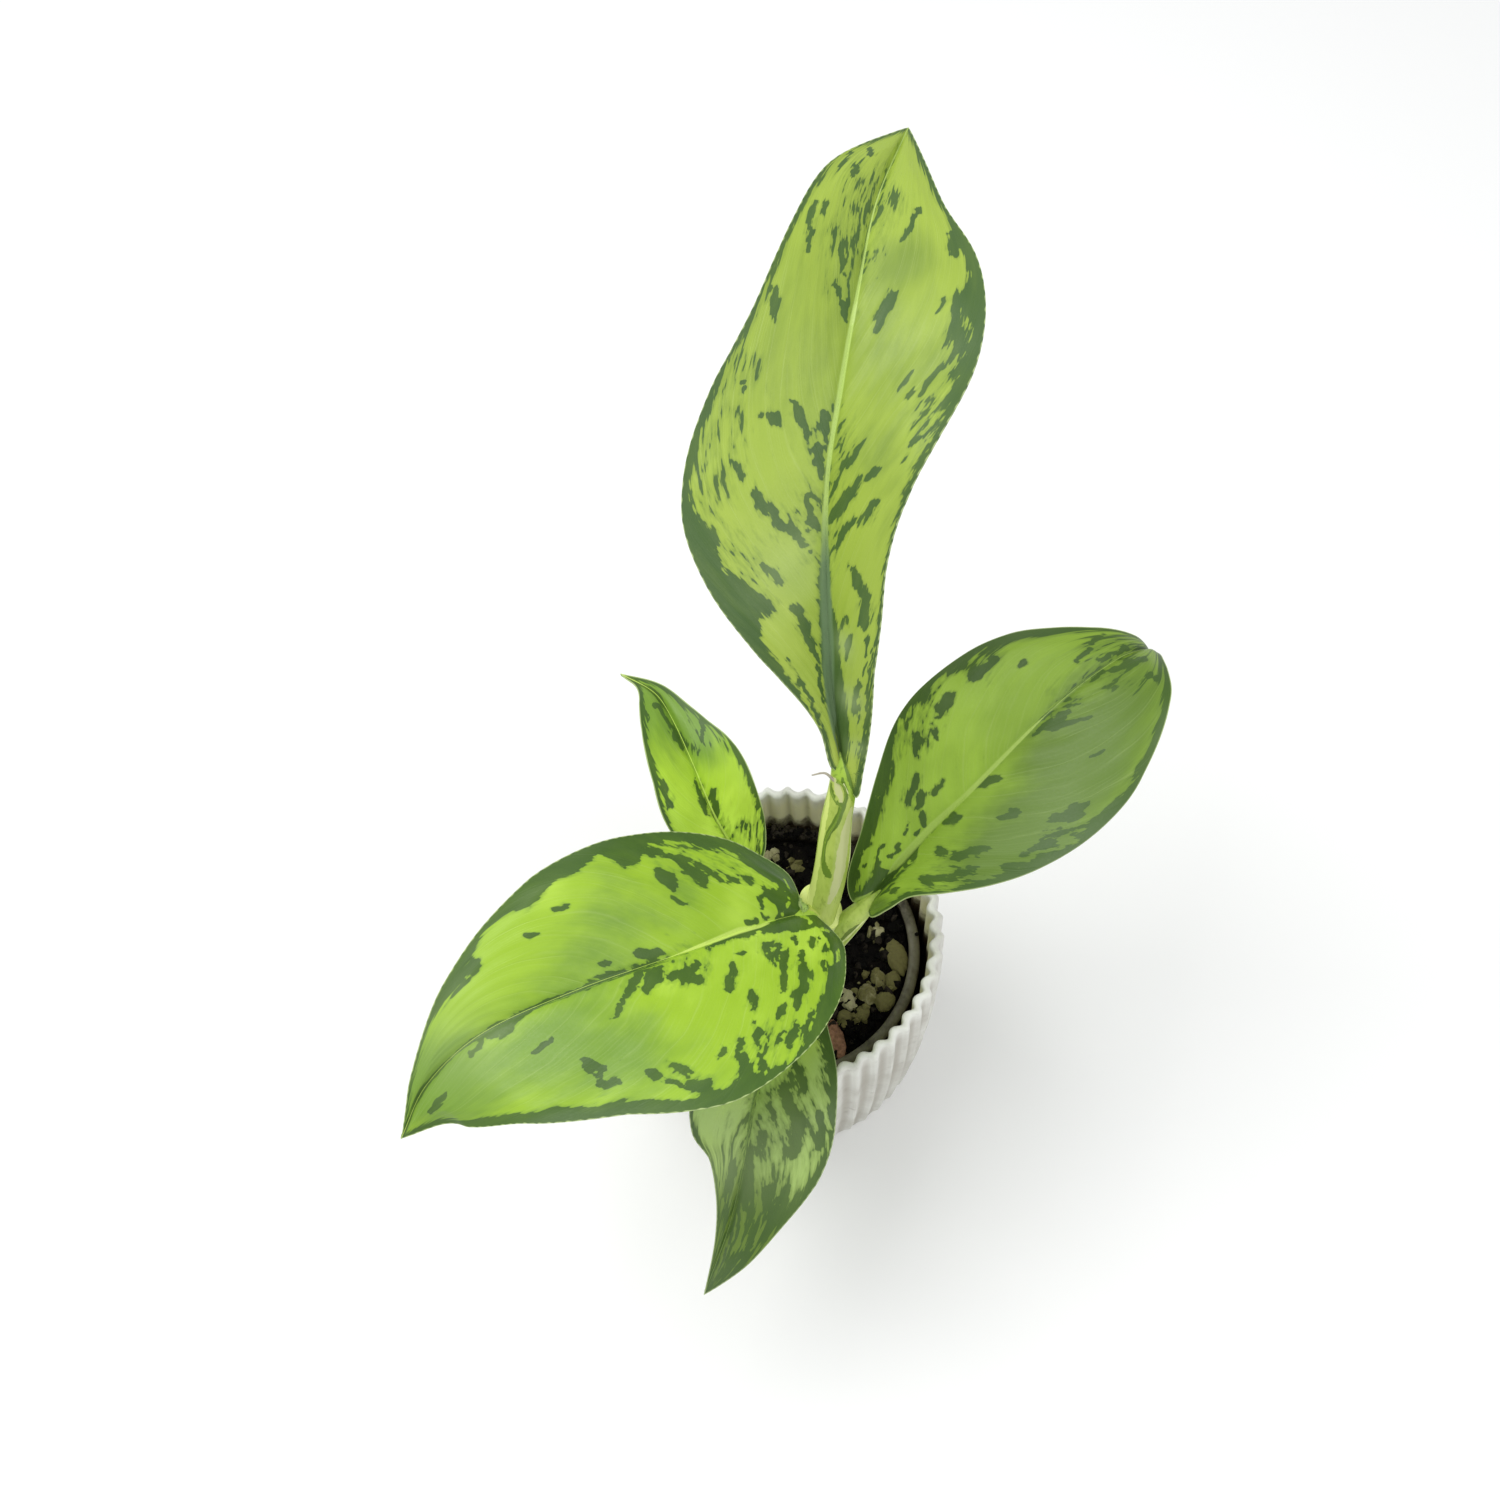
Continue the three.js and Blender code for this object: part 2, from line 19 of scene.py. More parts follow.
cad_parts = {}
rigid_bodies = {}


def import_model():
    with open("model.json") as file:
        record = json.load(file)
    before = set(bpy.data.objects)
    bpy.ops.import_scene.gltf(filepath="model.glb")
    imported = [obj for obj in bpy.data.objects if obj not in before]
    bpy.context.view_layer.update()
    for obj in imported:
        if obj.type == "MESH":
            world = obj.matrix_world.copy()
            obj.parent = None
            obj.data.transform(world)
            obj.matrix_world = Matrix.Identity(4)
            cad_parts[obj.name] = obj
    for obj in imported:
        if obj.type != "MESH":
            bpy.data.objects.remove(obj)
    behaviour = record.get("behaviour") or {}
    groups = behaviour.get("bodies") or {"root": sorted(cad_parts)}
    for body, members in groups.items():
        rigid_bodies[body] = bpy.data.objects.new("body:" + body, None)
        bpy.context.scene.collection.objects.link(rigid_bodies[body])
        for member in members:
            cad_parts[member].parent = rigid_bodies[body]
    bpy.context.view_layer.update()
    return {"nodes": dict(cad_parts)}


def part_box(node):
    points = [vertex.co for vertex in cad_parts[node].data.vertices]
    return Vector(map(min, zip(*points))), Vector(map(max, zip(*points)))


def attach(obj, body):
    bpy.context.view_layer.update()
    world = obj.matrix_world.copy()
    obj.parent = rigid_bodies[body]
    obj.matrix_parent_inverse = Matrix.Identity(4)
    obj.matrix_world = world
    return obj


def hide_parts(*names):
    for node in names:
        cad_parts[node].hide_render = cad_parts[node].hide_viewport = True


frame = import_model()
MM = 0.001
UP = (0, 0, 1)

Colour = tuple[float, float, float]
Point = tuple[float, float, float]
Pair = tuple[float, float]
Band = tuple[float, float, float]
Socket = bpy.types.NodeSocket
Value = Union[Socket, float, Sequence[float]]
Row = tuple[float, ...]

log = logging.getLogger("dumb_cane")


def srgb(red: int, green: int, blue: int) -> Colour:
    """Turn a picture's colour into linear light.

    Args:
        red, green, blue: Its parts, from 0 to 255.

    Returns:
        The colour, in parts from 0 to 1.
    """
    def linear(part: int) -> float:
        """Return one part as linear light."""
        share = part / 255
        return share / 12.92 if share <= 0.04045 else ((share + 0.055) / 1.055) ** 2.4
    return linear(red), linear(green), linear(blue)


def cubic(knots: np.ndarray, values: np.ndarray, at: np.ndarray) -> np.ndarray:
    """Run a smooth curve through values at knots, straight past both ends.

    Args:
        knots: Rising positions of the values.
        values: One row a knot.
        at: Where the curve is wanted.

    Returns:
        One row for each position.
    """
    count = len(knots)
    order = np.arange(count)
    before, after = np.maximum(order - 1, 0), np.minimum(order + 1, count - 1)
    slope = (values[after] - values[before]) / (knots[after] - knots[before])[:, None]
    cell = np.clip(np.searchsorted(knots, at) - 1, 0, count - 2)
    step = (knots[cell + 1] - knots[cell])[:, None]
    t = (at - knots[cell])[:, None] / step
    inside = ((2 * t**3 - 3 * t**2 + 1) * values[cell] + (t**3 - 2 * t**2 + t) * step * slope[cell]
              + (3 * t**2 - 2 * t**3) * values[cell + 1] + (t**3 - t**2) * step * slope[cell + 1])
    low = values[0] + (at - knots[0])[:, None] * slope[0]
    high = values[-1] + (at - knots[-1])[:, None] * slope[-1]
    past = np.where((at <= knots[0])[:, None], low, inside)
    return np.where((at >= knots[-1])[:, None], high, past)


def spread(values: Sequence[float], share: np.ndarray) -> np.ndarray:
    """Return values given at even steps from 0 to 1, smoothly, at each share."""
    knots = np.linspace(0, 1, len(values))
    return cubic(knots, np.array(values, float)[:, None], np.clip(share, 0, 1))[:, 0]


def profile(pairs: Sequence[Pair], at: np.ndarray) -> np.ndarray:
    """Return straight-line values between (position, value) pairs."""
    return np.interp(at, [p[0] for p in pairs], [p[1] for p in pairs])


def band_value(bands: Sequence[Band], at: np.ndarray, part: int) -> np.ndarray:
    """Return a (position, width, raggedness) band's width (1) or raggedness (2)."""
    return np.interp(at, [b[0] for b in bands], [b[part] for b in bands])


def waves(x: np.ndarray, y: np.ndarray, pitch: float, seed: float) -> np.ndarray:
    """Make an uneven pattern of smooth bumps.

    Args:
        x, y: Where it is wanted.
        pitch: About how far apart the bumps are.
        seed: Picks one pattern of many.

    Returns:
        Values of about -1 to 1.
    """
    k = 2 * math.pi / pitch
    return (0.45 * np.sin(k * x + 1.7 * np.sin(0.55 * k * y + seed))
            + 0.35 * np.sin(1.4 * k * y + 2.1 * np.sin(0.75 * k * x + 2 * seed))
            + 0.2 * np.sin(2.3 * k * x - 1.9 * k * y + 3 * seed))


class SmoothPath:
    """A smooth curve in space, measured by its own length."""

    def __init__(self, points: Sequence[Point]) -> None:
        """Measure the curve through some points.

        Args:
            points: At least two.
        """
        self.points = np.array(points, float)
        self.knots = np.arange(len(points), dtype=float)
        for _ in range(3):
            self.knots = self._lengths()
        self.length = float(self.knots[-1])

    def _lengths(self, samples: int = 8) -> np.ndarray:
        """Measure the curve up to each of its points.

        Args:
            samples: Straight steps from point to point.

        Returns:
            The lengths.
        """
        ends = zip(self.knots[:-1], self.knots[1:])
        at = np.concatenate([np.linspace(a, b, samples + 1) for a, b in ends])
        steps = self.at(at).reshape(len(self.points) - 1, samples + 1, 3)
        parts = np.linalg.norm(np.diff(steps, axis=1), axis=2).sum(axis=1)
        return np.concatenate([[0], np.cumsum(parts)])

    def at(self, s: np.ndarray) -> np.ndarray:
        """Return the points at lengths s."""
        return cubic(self.knots, self.points, np.atleast_1d(s))

    def along(self, s: np.ndarray, reach: float = 0.5) -> np.ndarray:
        """Return the curve's directions at lengths s."""
        step = self.at(s + reach) - self.at(s - reach)
        return step / np.linalg.norm(step, axis=1, keepdims=True)

    def frames(self, s: np.ndarray, level: Point) -> tuple[np.ndarray, np.ndarray]:
        """Find two directions across the curve.

        Args:
            s: Lengths along it.
            level: The first direction is square to this.

        Returns:
            The two directions at each length, square to each other.
        """
        along = self.along(s)
        side = np.cross(along, level)
        side /= np.linalg.norm(side, axis=1, keepdims=True)
        return side, np.cross(side, along)

    def around(self, s: np.ndarray, angle: np.ndarray, out: np.ndarray) -> np.ndarray:
        """Find places round the curve.

        Args:
            s: Lengths along it.
            angle: Turns round it, in radians.
            out: Distances from it.

        Returns:
            The places.
        """
        along = self.along(s)
        up = np.cross([1.0, 0, 0], along)
        up /= np.linalg.norm(up, axis=1, keepdims=True)
        side = np.cross(along, up)
        across = np.cos(angle)[:, None] * side + np.sin(angle)[:, None] * up
        return self.at(s) + out[:, None] * across

    def spread(self, values: Sequence[float], share: np.ndarray) -> np.ndarray:
        """Return values given at the curve's points, smoothly, at each share of its length."""
        return cubic(self.knots / self.length, np.array(values)[:, None], share)[:, 0]


@contextmanager
def editing(piece: bpy.types.Object) -> Iterator[None]:
    """Select one piece alone and hold it in edit mode.

    Args:
        piece: The piece to edit.

    Yields:
        Nothing, while it is in edit mode.
    """
    choose(piece)
    bpy.ops.object.mode_set(mode="EDIT")
    yield
    bpy.ops.object.mode_set(mode="OBJECT")


def choose(*pieces: bpy.types.Object) -> None:
    """Select these pieces alone.

    Args:
        pieces: The first one becomes the active one.
    """
    bpy.ops.object.select_all(action="DESELECT")
    for piece in pieces:
        piece.select_set(True)
    bpy.context.view_layer.objects.active = pieces[0]


def added(name: str) -> bpy.types.Object:
    """Name the primitive that an operator has just added.

    Args:
        name: Its name.

    Returns:
        The primitive, selected alone.
    """
    piece = bpy.context.object
    piece.name = piece.data.name = name
    choose(piece)
    return piece


def points_of(piece: bpy.types.Object) -> np.ndarray:
    """Read a mesh's vertices.

    Args:
        piece: The piece.

    Returns:
        Their places as stored, one row each.
    """
    places = np.zeros(len(piece.data.vertices) * 3)
    piece.data.vertices.foreach_get("co", places)
    return places.reshape(-1, 3)


def move_points(piece: bpy.types.Object, places: np.ndarray) -> None:
    """Put a mesh's vertices at these places."""
    piece.data.vertices.foreach_set("co", places.astype(np.float32).ravel())
    piece.data.update()


def modify(piece: bpy.types.Object, kind: str, **settings: object) -> None:
    """Add a modifier to a piece and apply it.

    Args:
        piece: The piece.
        kind: The modifier's type.
        settings: Its settings by name.
    """
    choose(piece)
    modifier = piece.modifiers.new(kind.lower(), kind)
    for name, value in settings.items():
        setattr(modifier, name, value)
    bpy.ops.object.modifier_apply(modifier=modifier.name)


def tidy(piece: bpy.types.Object, outward: bool = True) -> None:
    """Merge a piece's double vertices.

    Args:
        piece: The piece.
        outward: Also turn its faces outward.
    """
    with editing(piece):
        bpy.ops.mesh.select_all(action="SELECT")
        bpy.ops.mesh.remove_doubles(threshold=0.00001)
        if outward:
            bpy.ops.mesh.normals_make_consistent(inside=False)


def soften(piece: bpy.types.Object, degrees: float = 50) -> None:
    """Shade a piece smoothly where its faces meet at less than an angle."""
    choose(piece)
    bpy.ops.object.shade_smooth_by_angle(angle=math.radians(degrees))


def mark(piece: bpy.types.Object, name: str, values: np.ndarray) -> None:
    """Store values on a piece for its finish.

    Args:
        piece: The piece.
        name: What the finish reads them by.
        values: One number, or one vector, a vertex.
    """
    flat = values.ndim == 1
    attribute = piece.data.attributes.new(name, "FLOAT" if flat else "FLOAT_VECTOR", "POINT")
    attribute.data.foreach_set("value" if flat else "vector", values.astype(np.float32).ravel())


def marked(piece: bpy.types.Object, name: str) -> np.ndarray:
    """Read back numbers that mark stored.

    Args:
        piece: The piece.
        name: Their name.

    Returns:
        One number a vertex.
    """
    values = np.zeros(len(piece.data.vertices))
    piece.data.attributes[name].data.foreach_get("value", values)
    return values


def weigh(piece: bpy.types.Object, name: str, weights: np.ndarray) -> None:
    """Store a vertex group.

    Args:
        piece: The piece.
        name: The group's name.
        weights: From 0 to 1, one a vertex.
    """
    group = piece.vertex_groups.new(name=name)
    for index, weight in enumerate(weights):
        group.add([index], float(weight), "REPLACE")


def settle(piece: bpy.types.Object, finish: Optional[bpy.types.Material], slot: str,
           *nodes: str) -> None:
    """Finish a piece and let it ride on the frame.

    Args:
        piece: The piece.
        finish: Its material, unless it has one already.
        slot: The record's slot for it; not used.
        nodes: The nodes that it stands for.
    """
    if finish is not None:
        piece.data.materials.append(finish)
    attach(piece, "root")
    if nodes:
        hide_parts(*nodes)
    log.info("%s: %d faces", piece.name, len(piece.data.polygons))


def turned(name: str, outline: Sequence[Pair], segments: int) -> bpy.types.Object:
    """Raise a round body ring by ring from a circle.

    Args:
        name: The piece's name.
        outline: (radius, height) of each ring; the first and last rings are filled.
        segments: Vertices round each ring.

    Returns:
        The closed body.
    """
    radius, height = outline[0]
    bpy.ops.mesh.primitive_circle_add(
        vertices=segments, radius=radius * MM, fill_type="NGON", location=(0, 0, height * MM))
    piece = added(name)
    bpy.ops.object.transform_apply(location=True, rotation=True, scale=True)
    with editing(piece):
        bpy.ops.mesh.select_all(action="SELECT")
        bpy.ops.mesh.region_to_loop()
        for wide, high in outline[1:]:
            bpy.ops.mesh.extrude_edges_move(
                TRANSFORM_OT_translate={"value": (0, 0, (high - height) * MM)})
            ratio = wide / radius
            bpy.ops.transform.resize(value=(ratio, ratio, 1))
            radius, height = wide, high
        bpy.ops.mesh.edge_face_add()
    tidy(piece)
    return piece


def tube(name: str, path: SmoothPath, radius: Callable[[np.ndarray, np.ndarray], np.ndarray],
         rings: int, sides: int) -> bpy.types.Object:
    """Bend a cylinder along a path.

    Args:
        name: The piece's name.
        path: The line that it follows.
        radius: Gives the radius from the share along and the angle round, in radians.
        rings: Stretches along the tube.
        sides: Vertices round the tube.

    Returns:
        The closed tube.
    """
    bpy.ops.mesh.primitive_cylinder_add(vertices=sides, radius=1, depth=2)
    piece = added(name)
    with editing(piece):
        bpy.ops.mesh.select_mode(type="EDGE")
        bpy.ops.mesh.select_all(action="DESELECT")
    start = points_of(piece)
    for edge in piece.data.edges:
        low, high = (start[v][2] for v in edge.vertices)
        edge.select = abs(high - low) > 1
    with editing(piece):
        bpy.ops.mesh.subdivide(number_cuts=rings - 1)
        bpy.ops.mesh.select_mode(type="VERT")
    start = points_of(piece)
    share = (start[:, 2] + 1) / 2
    angle = np.arctan2(start[:, 1], start[:, 0])
    move_points(piece, path.around(share * path.length, angle, radius(share, angle)) * MM)
    mark(piece, "share", share)
    mark(piece, "angle", np.degrees(angle))
    tidy(piece)
    soften(piece)
    return piece


class Nodes:
    """Adds nodes to one material's or group's tree, with their values or links."""

    def __init__(self, tree: bpy.types.NodeTree) -> None:
        """Start on an empty tree."""
        self.tree = tree
        tree.nodes.clear()

    def add(self, kind: str, values: Optional[dict] = None, **settings: object) -> bpy.types.Node:
        """Add a node.

        Args:
            kind: Its type.
            values: Numbers or links of its inputs, by name or number.
            settings: Its settings by name.

        Returns:
            The node.
        """
        node = self.tree.nodes.new(kind)
        node.location = (220 * len(self.tree.nodes), 0)
        for name, value in settings.items():
            setattr(node, name, value)
        for key, value in (values or {}).items():
            if isinstance(value, Socket):
                self.tree.links.new(value, node.inputs[key])
            else:
                node.inputs[key].default_value = value
        return node

    def math(self, operation: str, *values: Value, clamp: bool = False) -> Socket:
        """Return one arithmetic step on numbers."""
        settings = {"operation": operation, "use_clamp": clamp}
        return self.add("ShaderNodeMath", dict(enumerate(values)), **settings).outputs[0]

    def ramp(self, value: Value, low: float, high: float, start: float = 0.0,
             end: float = 1.0) -> Socket:
        """Return a smooth step from start to end as value goes from low to high."""
        names = {"Value": value, "From Min": low, "From Max": high, "To Min": start, "To Max": end}
        return self.add("ShaderNodeMapRange", names, interpolation_type="SMOOTHSTEP").outputs[0]

    def mix(self, share: Value, first: Value, second: Value) -> Socket:
        """Mix two colours.

        Args:
            share: How much of the second one.
            first, second: The colours.

        Returns:
            The mix.
        """
        first, second = (c if isinstance(c, Socket) else (*c, 1) for c in (first, second))
        values = {0: share, 6: first, 7: second}
        return self.add("ShaderNodeMix", values, data_type="RGBA").outputs[2]

    def noise(self, place: Socket, scale: Union[float, Row], detail: float = 3,
              rough: float = 0.5) -> Socket:
        """Make a cloudy pattern.

        Args:
            place: Coordinates.
            scale: Patches a unit, or a stretch of each axis.
            detail, rough: How fine and how rough it is.

        Returns:
            Values from 0 to 1.
        """
        if isinstance(scale, tuple):
            mapping = self.add("ShaderNodeMapping", {"Vector": place, "Scale": scale})
            place, scale = mapping.outputs[0], 1
        values = {"Vector": place, "Scale": scale, "Detail": detail, "Roughness": rough}
        return self.add("ShaderNodeTexNoise", values).outputs["Fac"]

    def own_place(self) -> Socket:
        """Return the piece's own coordinates, in metres."""
        return self.add("ShaderNodeTexCoord").outputs["Object"]

    def stored(self, name: str, vector: bool = False) -> Socket:
        """Return what mark stored under a name."""
        node = self.add("ShaderNodeAttribute", attribute_name=name)
        return node.outputs["Vector" if vector else "Fac"]

    def group(self, tree: bpy.types.NodeTree, values: dict) -> bpy.types.Node:
        """Place a node group with its inputs."""
        return self.add("ShaderNodeGroup", values, node_tree=tree)

    def bump(self, height: Socket, distance: float, strength: float = 1.0) -> Socket:
        """Return a normal that follows a height; distance is in millimetres."""
        values = {"Height": height, "Distance": distance * MM, "Strength": strength}
        return self.add("ShaderNodeBump", values).outputs[0]

    def surface(self, values: dict) -> None:
        """End a material with its Principled shader."""
        shader = self.add("ShaderNodeBsdfPrincipled", values)
        self.add("ShaderNodeOutputMaterial", {0: shader.outputs[0]})


def new_material(name: str) -> tuple[bpy.types.Material, Nodes]:
    """Start a material.

    Args:
        name: Its name.

    Returns:
        It, and the builder of its nodes.
    """
    material = bpy.data.materials.new(name)
    material.use_nodes = True
    return material, Nodes(material.node_tree)


def new_group(name: str, inputs: dict[str, str], outputs: dict[str, str]) \
        -> tuple[Nodes, dict[str, Socket]]:
    """Start a shader node group.

    Args:
        name: The group's name.
        inputs: Socket kinds by name.
        outputs: Socket kinds by name.

    Returns:
        Its node builder and the input sockets by name.
    """
    tree = bpy.data.node_groups.new(name, "ShaderNodeTree")
    for direction, sockets in (("INPUT", inputs), ("OUTPUT", outputs)):
        for socket, kind in sockets.items():
            tree.interface.new_socket(socket, in_out=direction, socket_type=kind)
    nodes = Nodes(tree)
    entry = nodes.add("NodeGroupInput")
    return nodes, {name: entry.outputs[name] for name in inputs}


FLOAT, VECTOR = "NodeSocketFloat", "NodeSocketVector"
VEIN_PITCH = 7.3


def mottling_group() -> bpy.types.NodeTree:
    """Build the group that frays a leaf's dark markings along its side veins.

    Returns:
        The group.
    """
    nodes, given = new_group(
        "leaf_mottling",
        {"Plan": VECTOR, "Bias": FLOAT, "Depth": FLOAT, "Fray": FLOAT},
        {"Mask": FLOAT, "Halo": FLOAT})
    streaks = nodes.noise(given["Plan"], (0.38, 0.21, 1), 2)
    frays = nodes.noise(given["Plan"], (1.0, 0.6, 1), 2)
    swing = nodes.math("MULTIPLY", nodes.math("SUBTRACT", streaks, 0.5), given["Depth"])
    ragged = nodes.math("MULTIPLY", nodes.math("SUBTRACT", frays, 0.5), given["Fray"])
    level = nodes.math("ADD", nodes.math("ADD", given["Bias"], swing), ragged)
    nodes.add("NodeGroupOutput", {"Mask": nodes.ramp(level, -0.05, 0.05),
                                  "Halo": nodes.ramp(level, -0.36, 0.04)})
    return nodes.tree


def veining_group() -> bpy.types.NodeTree:
    """Build the group that draws a leaf's side veins and the finer ones between.

    Returns:
        The group.
    """
    nodes, given = new_group("leaf_veining", {"Plan": VECTOR, "Vein": FLOAT}, {"Lines": FLOAT})
    place = nodes.add("ShaderNodeSeparateXYZ", {0: given["Plan"]})
    drift = nodes.noise(given["Plan"], (0.14, 0.05, 1), 2)
    fades = nodes.noise(given["Plan"], (0.5, 0.05, 1), 1)
    lines = []
    for start, pitch, sharp in ((given["Vein"], VEIN_PITCH, 0.06), (place.outputs[0], 1.2, 0.3)):
        across = nodes.math("MULTIPLY_ADD", drift, 6.0, start)
        fold = nodes.math("PINGPONG", across, pitch / 2)
        lines.append(nodes.ramp(nodes.math("DIVIDE", fold, pitch), 0, sharp, 1, 0))
    fine = nodes.math("MULTIPLY", lines[1], nodes.ramp(fades, 0.4, 0.75, 0.1, 0.6))
    main = nodes.math("MULTIPLY", lines[0], nodes.ramp(fades, 0.3, 0.6, 0.2, 1))
    nodes.add("NodeGroupOutput", {"Lines": nodes.math("MAXIMUM", main, fine)})
    return nodes.tree


def dust_and_shade_group() -> bpy.types.NodeTree:
    """Build the group that lays soil dust and painted shade over a surface, in patches.

    Returns:
        The group.
    """
    nodes, given = new_group("soil_dust_and_shade", {"Place": VECTOR, "Amount": FLOAT}, {"Mask": FLOAT})
    patches = nodes.noise(given["Place"], 260, 5, 0.65)
    level = nodes.math("ADD", patches, nodes.math("SUBTRACT", given["Amount"], 0.75))
    nodes.add("NodeGroupOutput", {"Mask": nodes.ramp(level, -0.2, 0.35)})
    return nodes.tree


class Face(Enum):
    """The two faces of a blade."""

    UPPER = "upper"
    LOWER = "lower"


@dataclass(frozen=True)
class LeafFinish:
    """The colours and gloss of one leaf's blade."""

    lime: Colour
    fresh: Colour
    shade: Colour
    dark: Colour
    rib: Colour
    edge: Colour
    rib_far: Colour = srgb(186, 210, 118)
    rib_turn: float = 400
    sheen: Colour = srgb(172, 190, 138)
    roughness: float = 0.4
    gloss: float = 0.35
    depth: float = 1.4
    fray: float = 0.5

    def material(self, name: str, face: Face, groups: "SharedGroups") -> bpy.types.Material:
        """Build the finish of one face.

        Args:
            name: The material's name.
            face: Which face it covers; the lower one is paler and duller.
            groups: The shared node groups.

        Returns:
            The material.
        """
        material, nodes = new_material(name)
        plan = nodes.stored("plan", vector=True)
        marks = nodes.group(groups.mottling, {
            "Plan": plan, "Bias": nodes.stored("bias"), "Depth": self.depth, "Fray": self.fray})
        veins = nodes.group(groups.veining, {"Plan": plan, "Vein": nodes.stored("vein")})
        clouds = nodes.noise(plan, (0.09, 0.07, 1), 3, 0.6)
        grain = nodes.noise(plan, 2.2, 3, 0.6)
        # The stored tone is partly painted light and shade.
        tone = nodes.math("MULTIPLY_ADD", nodes.math("SUBTRACT", clouds, 0.5), 1.1,
                          nodes.stored("tone"))
        green = nodes.mix(nodes.ramp(tone, 0.0, 0.8), self.lime, self.fresh)
        green = nodes.mix(nodes.ramp(tone, -0.8, 0.0, 1, 0), green, self.shade)
        green = nodes.mix(nodes.math("MULTIPLY", grain, 0.14), green, self.shade)
        green = nodes.mix(nodes.math("MULTIPLY", veins.outputs["Lines"], 0.1), green, self.edge)
        halo = nodes.math("MULTIPLY", marks.outputs["Halo"], 0.6)
        green = nodes.mix(halo, green, self.shade)
        worn = nodes.ramp(grain, 0.1, 0.45, 0.86, 1)
        cover = nodes.math("MULTIPLY", marks.outputs["Mask"], worn)
        cover = nodes.math("MULTIPLY", cover, nodes.ramp(clouds, 0.35, 0.7, 1, 0.88))
        skin = nodes.mix(cover, green, self.dark)
        skin = nodes.mix(nodes.stored("sheen"), skin, self.sheen)
        turned_far = nodes.ramp(nodes.stored("along"), self.rib_turn - 8, self.rib_turn + 8)
        rib = nodes.mix(turned_far, self.rib, self.rib_far)
        rib = nodes.mix(nodes.math("MULTIPLY", grain, 0.4), rib, self.shade)
        wide = nodes.stored("rib_share")
        skin = nodes.mix(nodes.ramp(wide, 0.55, 1.2, 0.9, 0), skin, rib)
        skin = nodes.mix(nodes.ramp(nodes.stored("edge"), 0.1, 0.36, 0.7, 0), skin, self.edge)
        rough = nodes.ramp(grain, 0.3, 0.7, self.roughness - 0.05, self.roughness + 0.08)
        relief = nodes.math("MULTIPLY_ADD", veins.outputs["Lines"], -0.45,
                            nodes.math("MULTIPLY", grain, 0.35))
        if face is Face.LOWER:
            pale = nodes.mix(0.5, skin, self.edge)
            skin = nodes.mix(0.55, pale, self.shade)
            rough = nodes.ramp(grain, 0.3, 0.7, 0.5, 0.62)
            relief = nodes.math("MULTIPLY", relief, -1.0)
        nodes.surface({"Base Color": skin, "Roughness": rough, "Specular IOR Level": self.gloss,
                       "Normal": nodes.bump(relief, 0.09, 0.6)})
        return material


class Paint(Enum):
    """The ways that a stretch of a stalk's skin differs from the rest."""

    CREAM = "cream"
    BEIGE = "beige"
    LEAFY = "leafy"
    DARK = "dark"


@dataclass(frozen=True)
class StalkFinish:
    """The finish of a stalk or of the cane: pale, with streaks of deeper green."""

    pale: Colour
    green: Colour
    spot: Colour
    cream: Colour = srgb(220, 232, 134)
    beige: Colour = srgb(196, 200, 142)
    leaf: Colour = srgb(150, 184, 56)
    dark: Colour = srgb(92, 122, 38)
    streak: float = 0.5
    roughness: float = 0.42

    def material(self, name: str) -> bpy.types.Material:
        """Build the finish; a piece stores how far each paint covers it.

        Args:
            name: The material's name.

        Returns:
            The material.
        """
        material, nodes = new_material(name)
        place = nodes.own_place()
        long = nodes.noise(place, (900, 900, 90), 3, 0.6)
        patches = nodes.noise(place, (160, 160, 70), 3, 0.55)
        flecks = nodes.noise(place, (700, 700, 320), 2, 0.6)
        rags = nodes.noise(place, (620, 620, 330), 2)
        cover = nodes.math("MULTIPLY", nodes.ramp(patches, 0.42, 0.66), self.streak)
        skin = nodes.mix(cover, self.pale, self.green)
        skin = nodes.mix(nodes.ramp(long, 0.45, 0.75, 0, 0.45), skin, self.green)
        skin = nodes.mix(nodes.ramp(flecks, 0.6, 0.7, 0, 0.6 * self.streak), skin, self.spot)
        shift = nodes.math("MULTIPLY_ADD", rags, 1.3, -0.65)
        leaf = nodes.mix(nodes.ramp(long, 0.5, 0.62, 0, 0.5), self.leaf, self.dark)
        for paint, colour in ((Paint.CREAM, self.cream), (Paint.BEIGE, self.beige),
                              (Paint.LEAFY, leaf), (Paint.DARK, self.dark)):
            level = nodes.math("ADD", nodes.stored(paint.value), shift)
            skin = nodes.mix(nodes.ramp(level, 0.4, 0.6, 0, 0.92), skin, colour)
        relief = nodes.bump(long, 0.12, 0.5)
        nodes.surface({"Base Color": skin, "Normal": relief, "Specular IOR Level": 0.4,
                       "Roughness": nodes.ramp(flecks, 0.3, 0.7, self.roughness - 0.06,
                                               self.roughness + 0.1)})
        return material


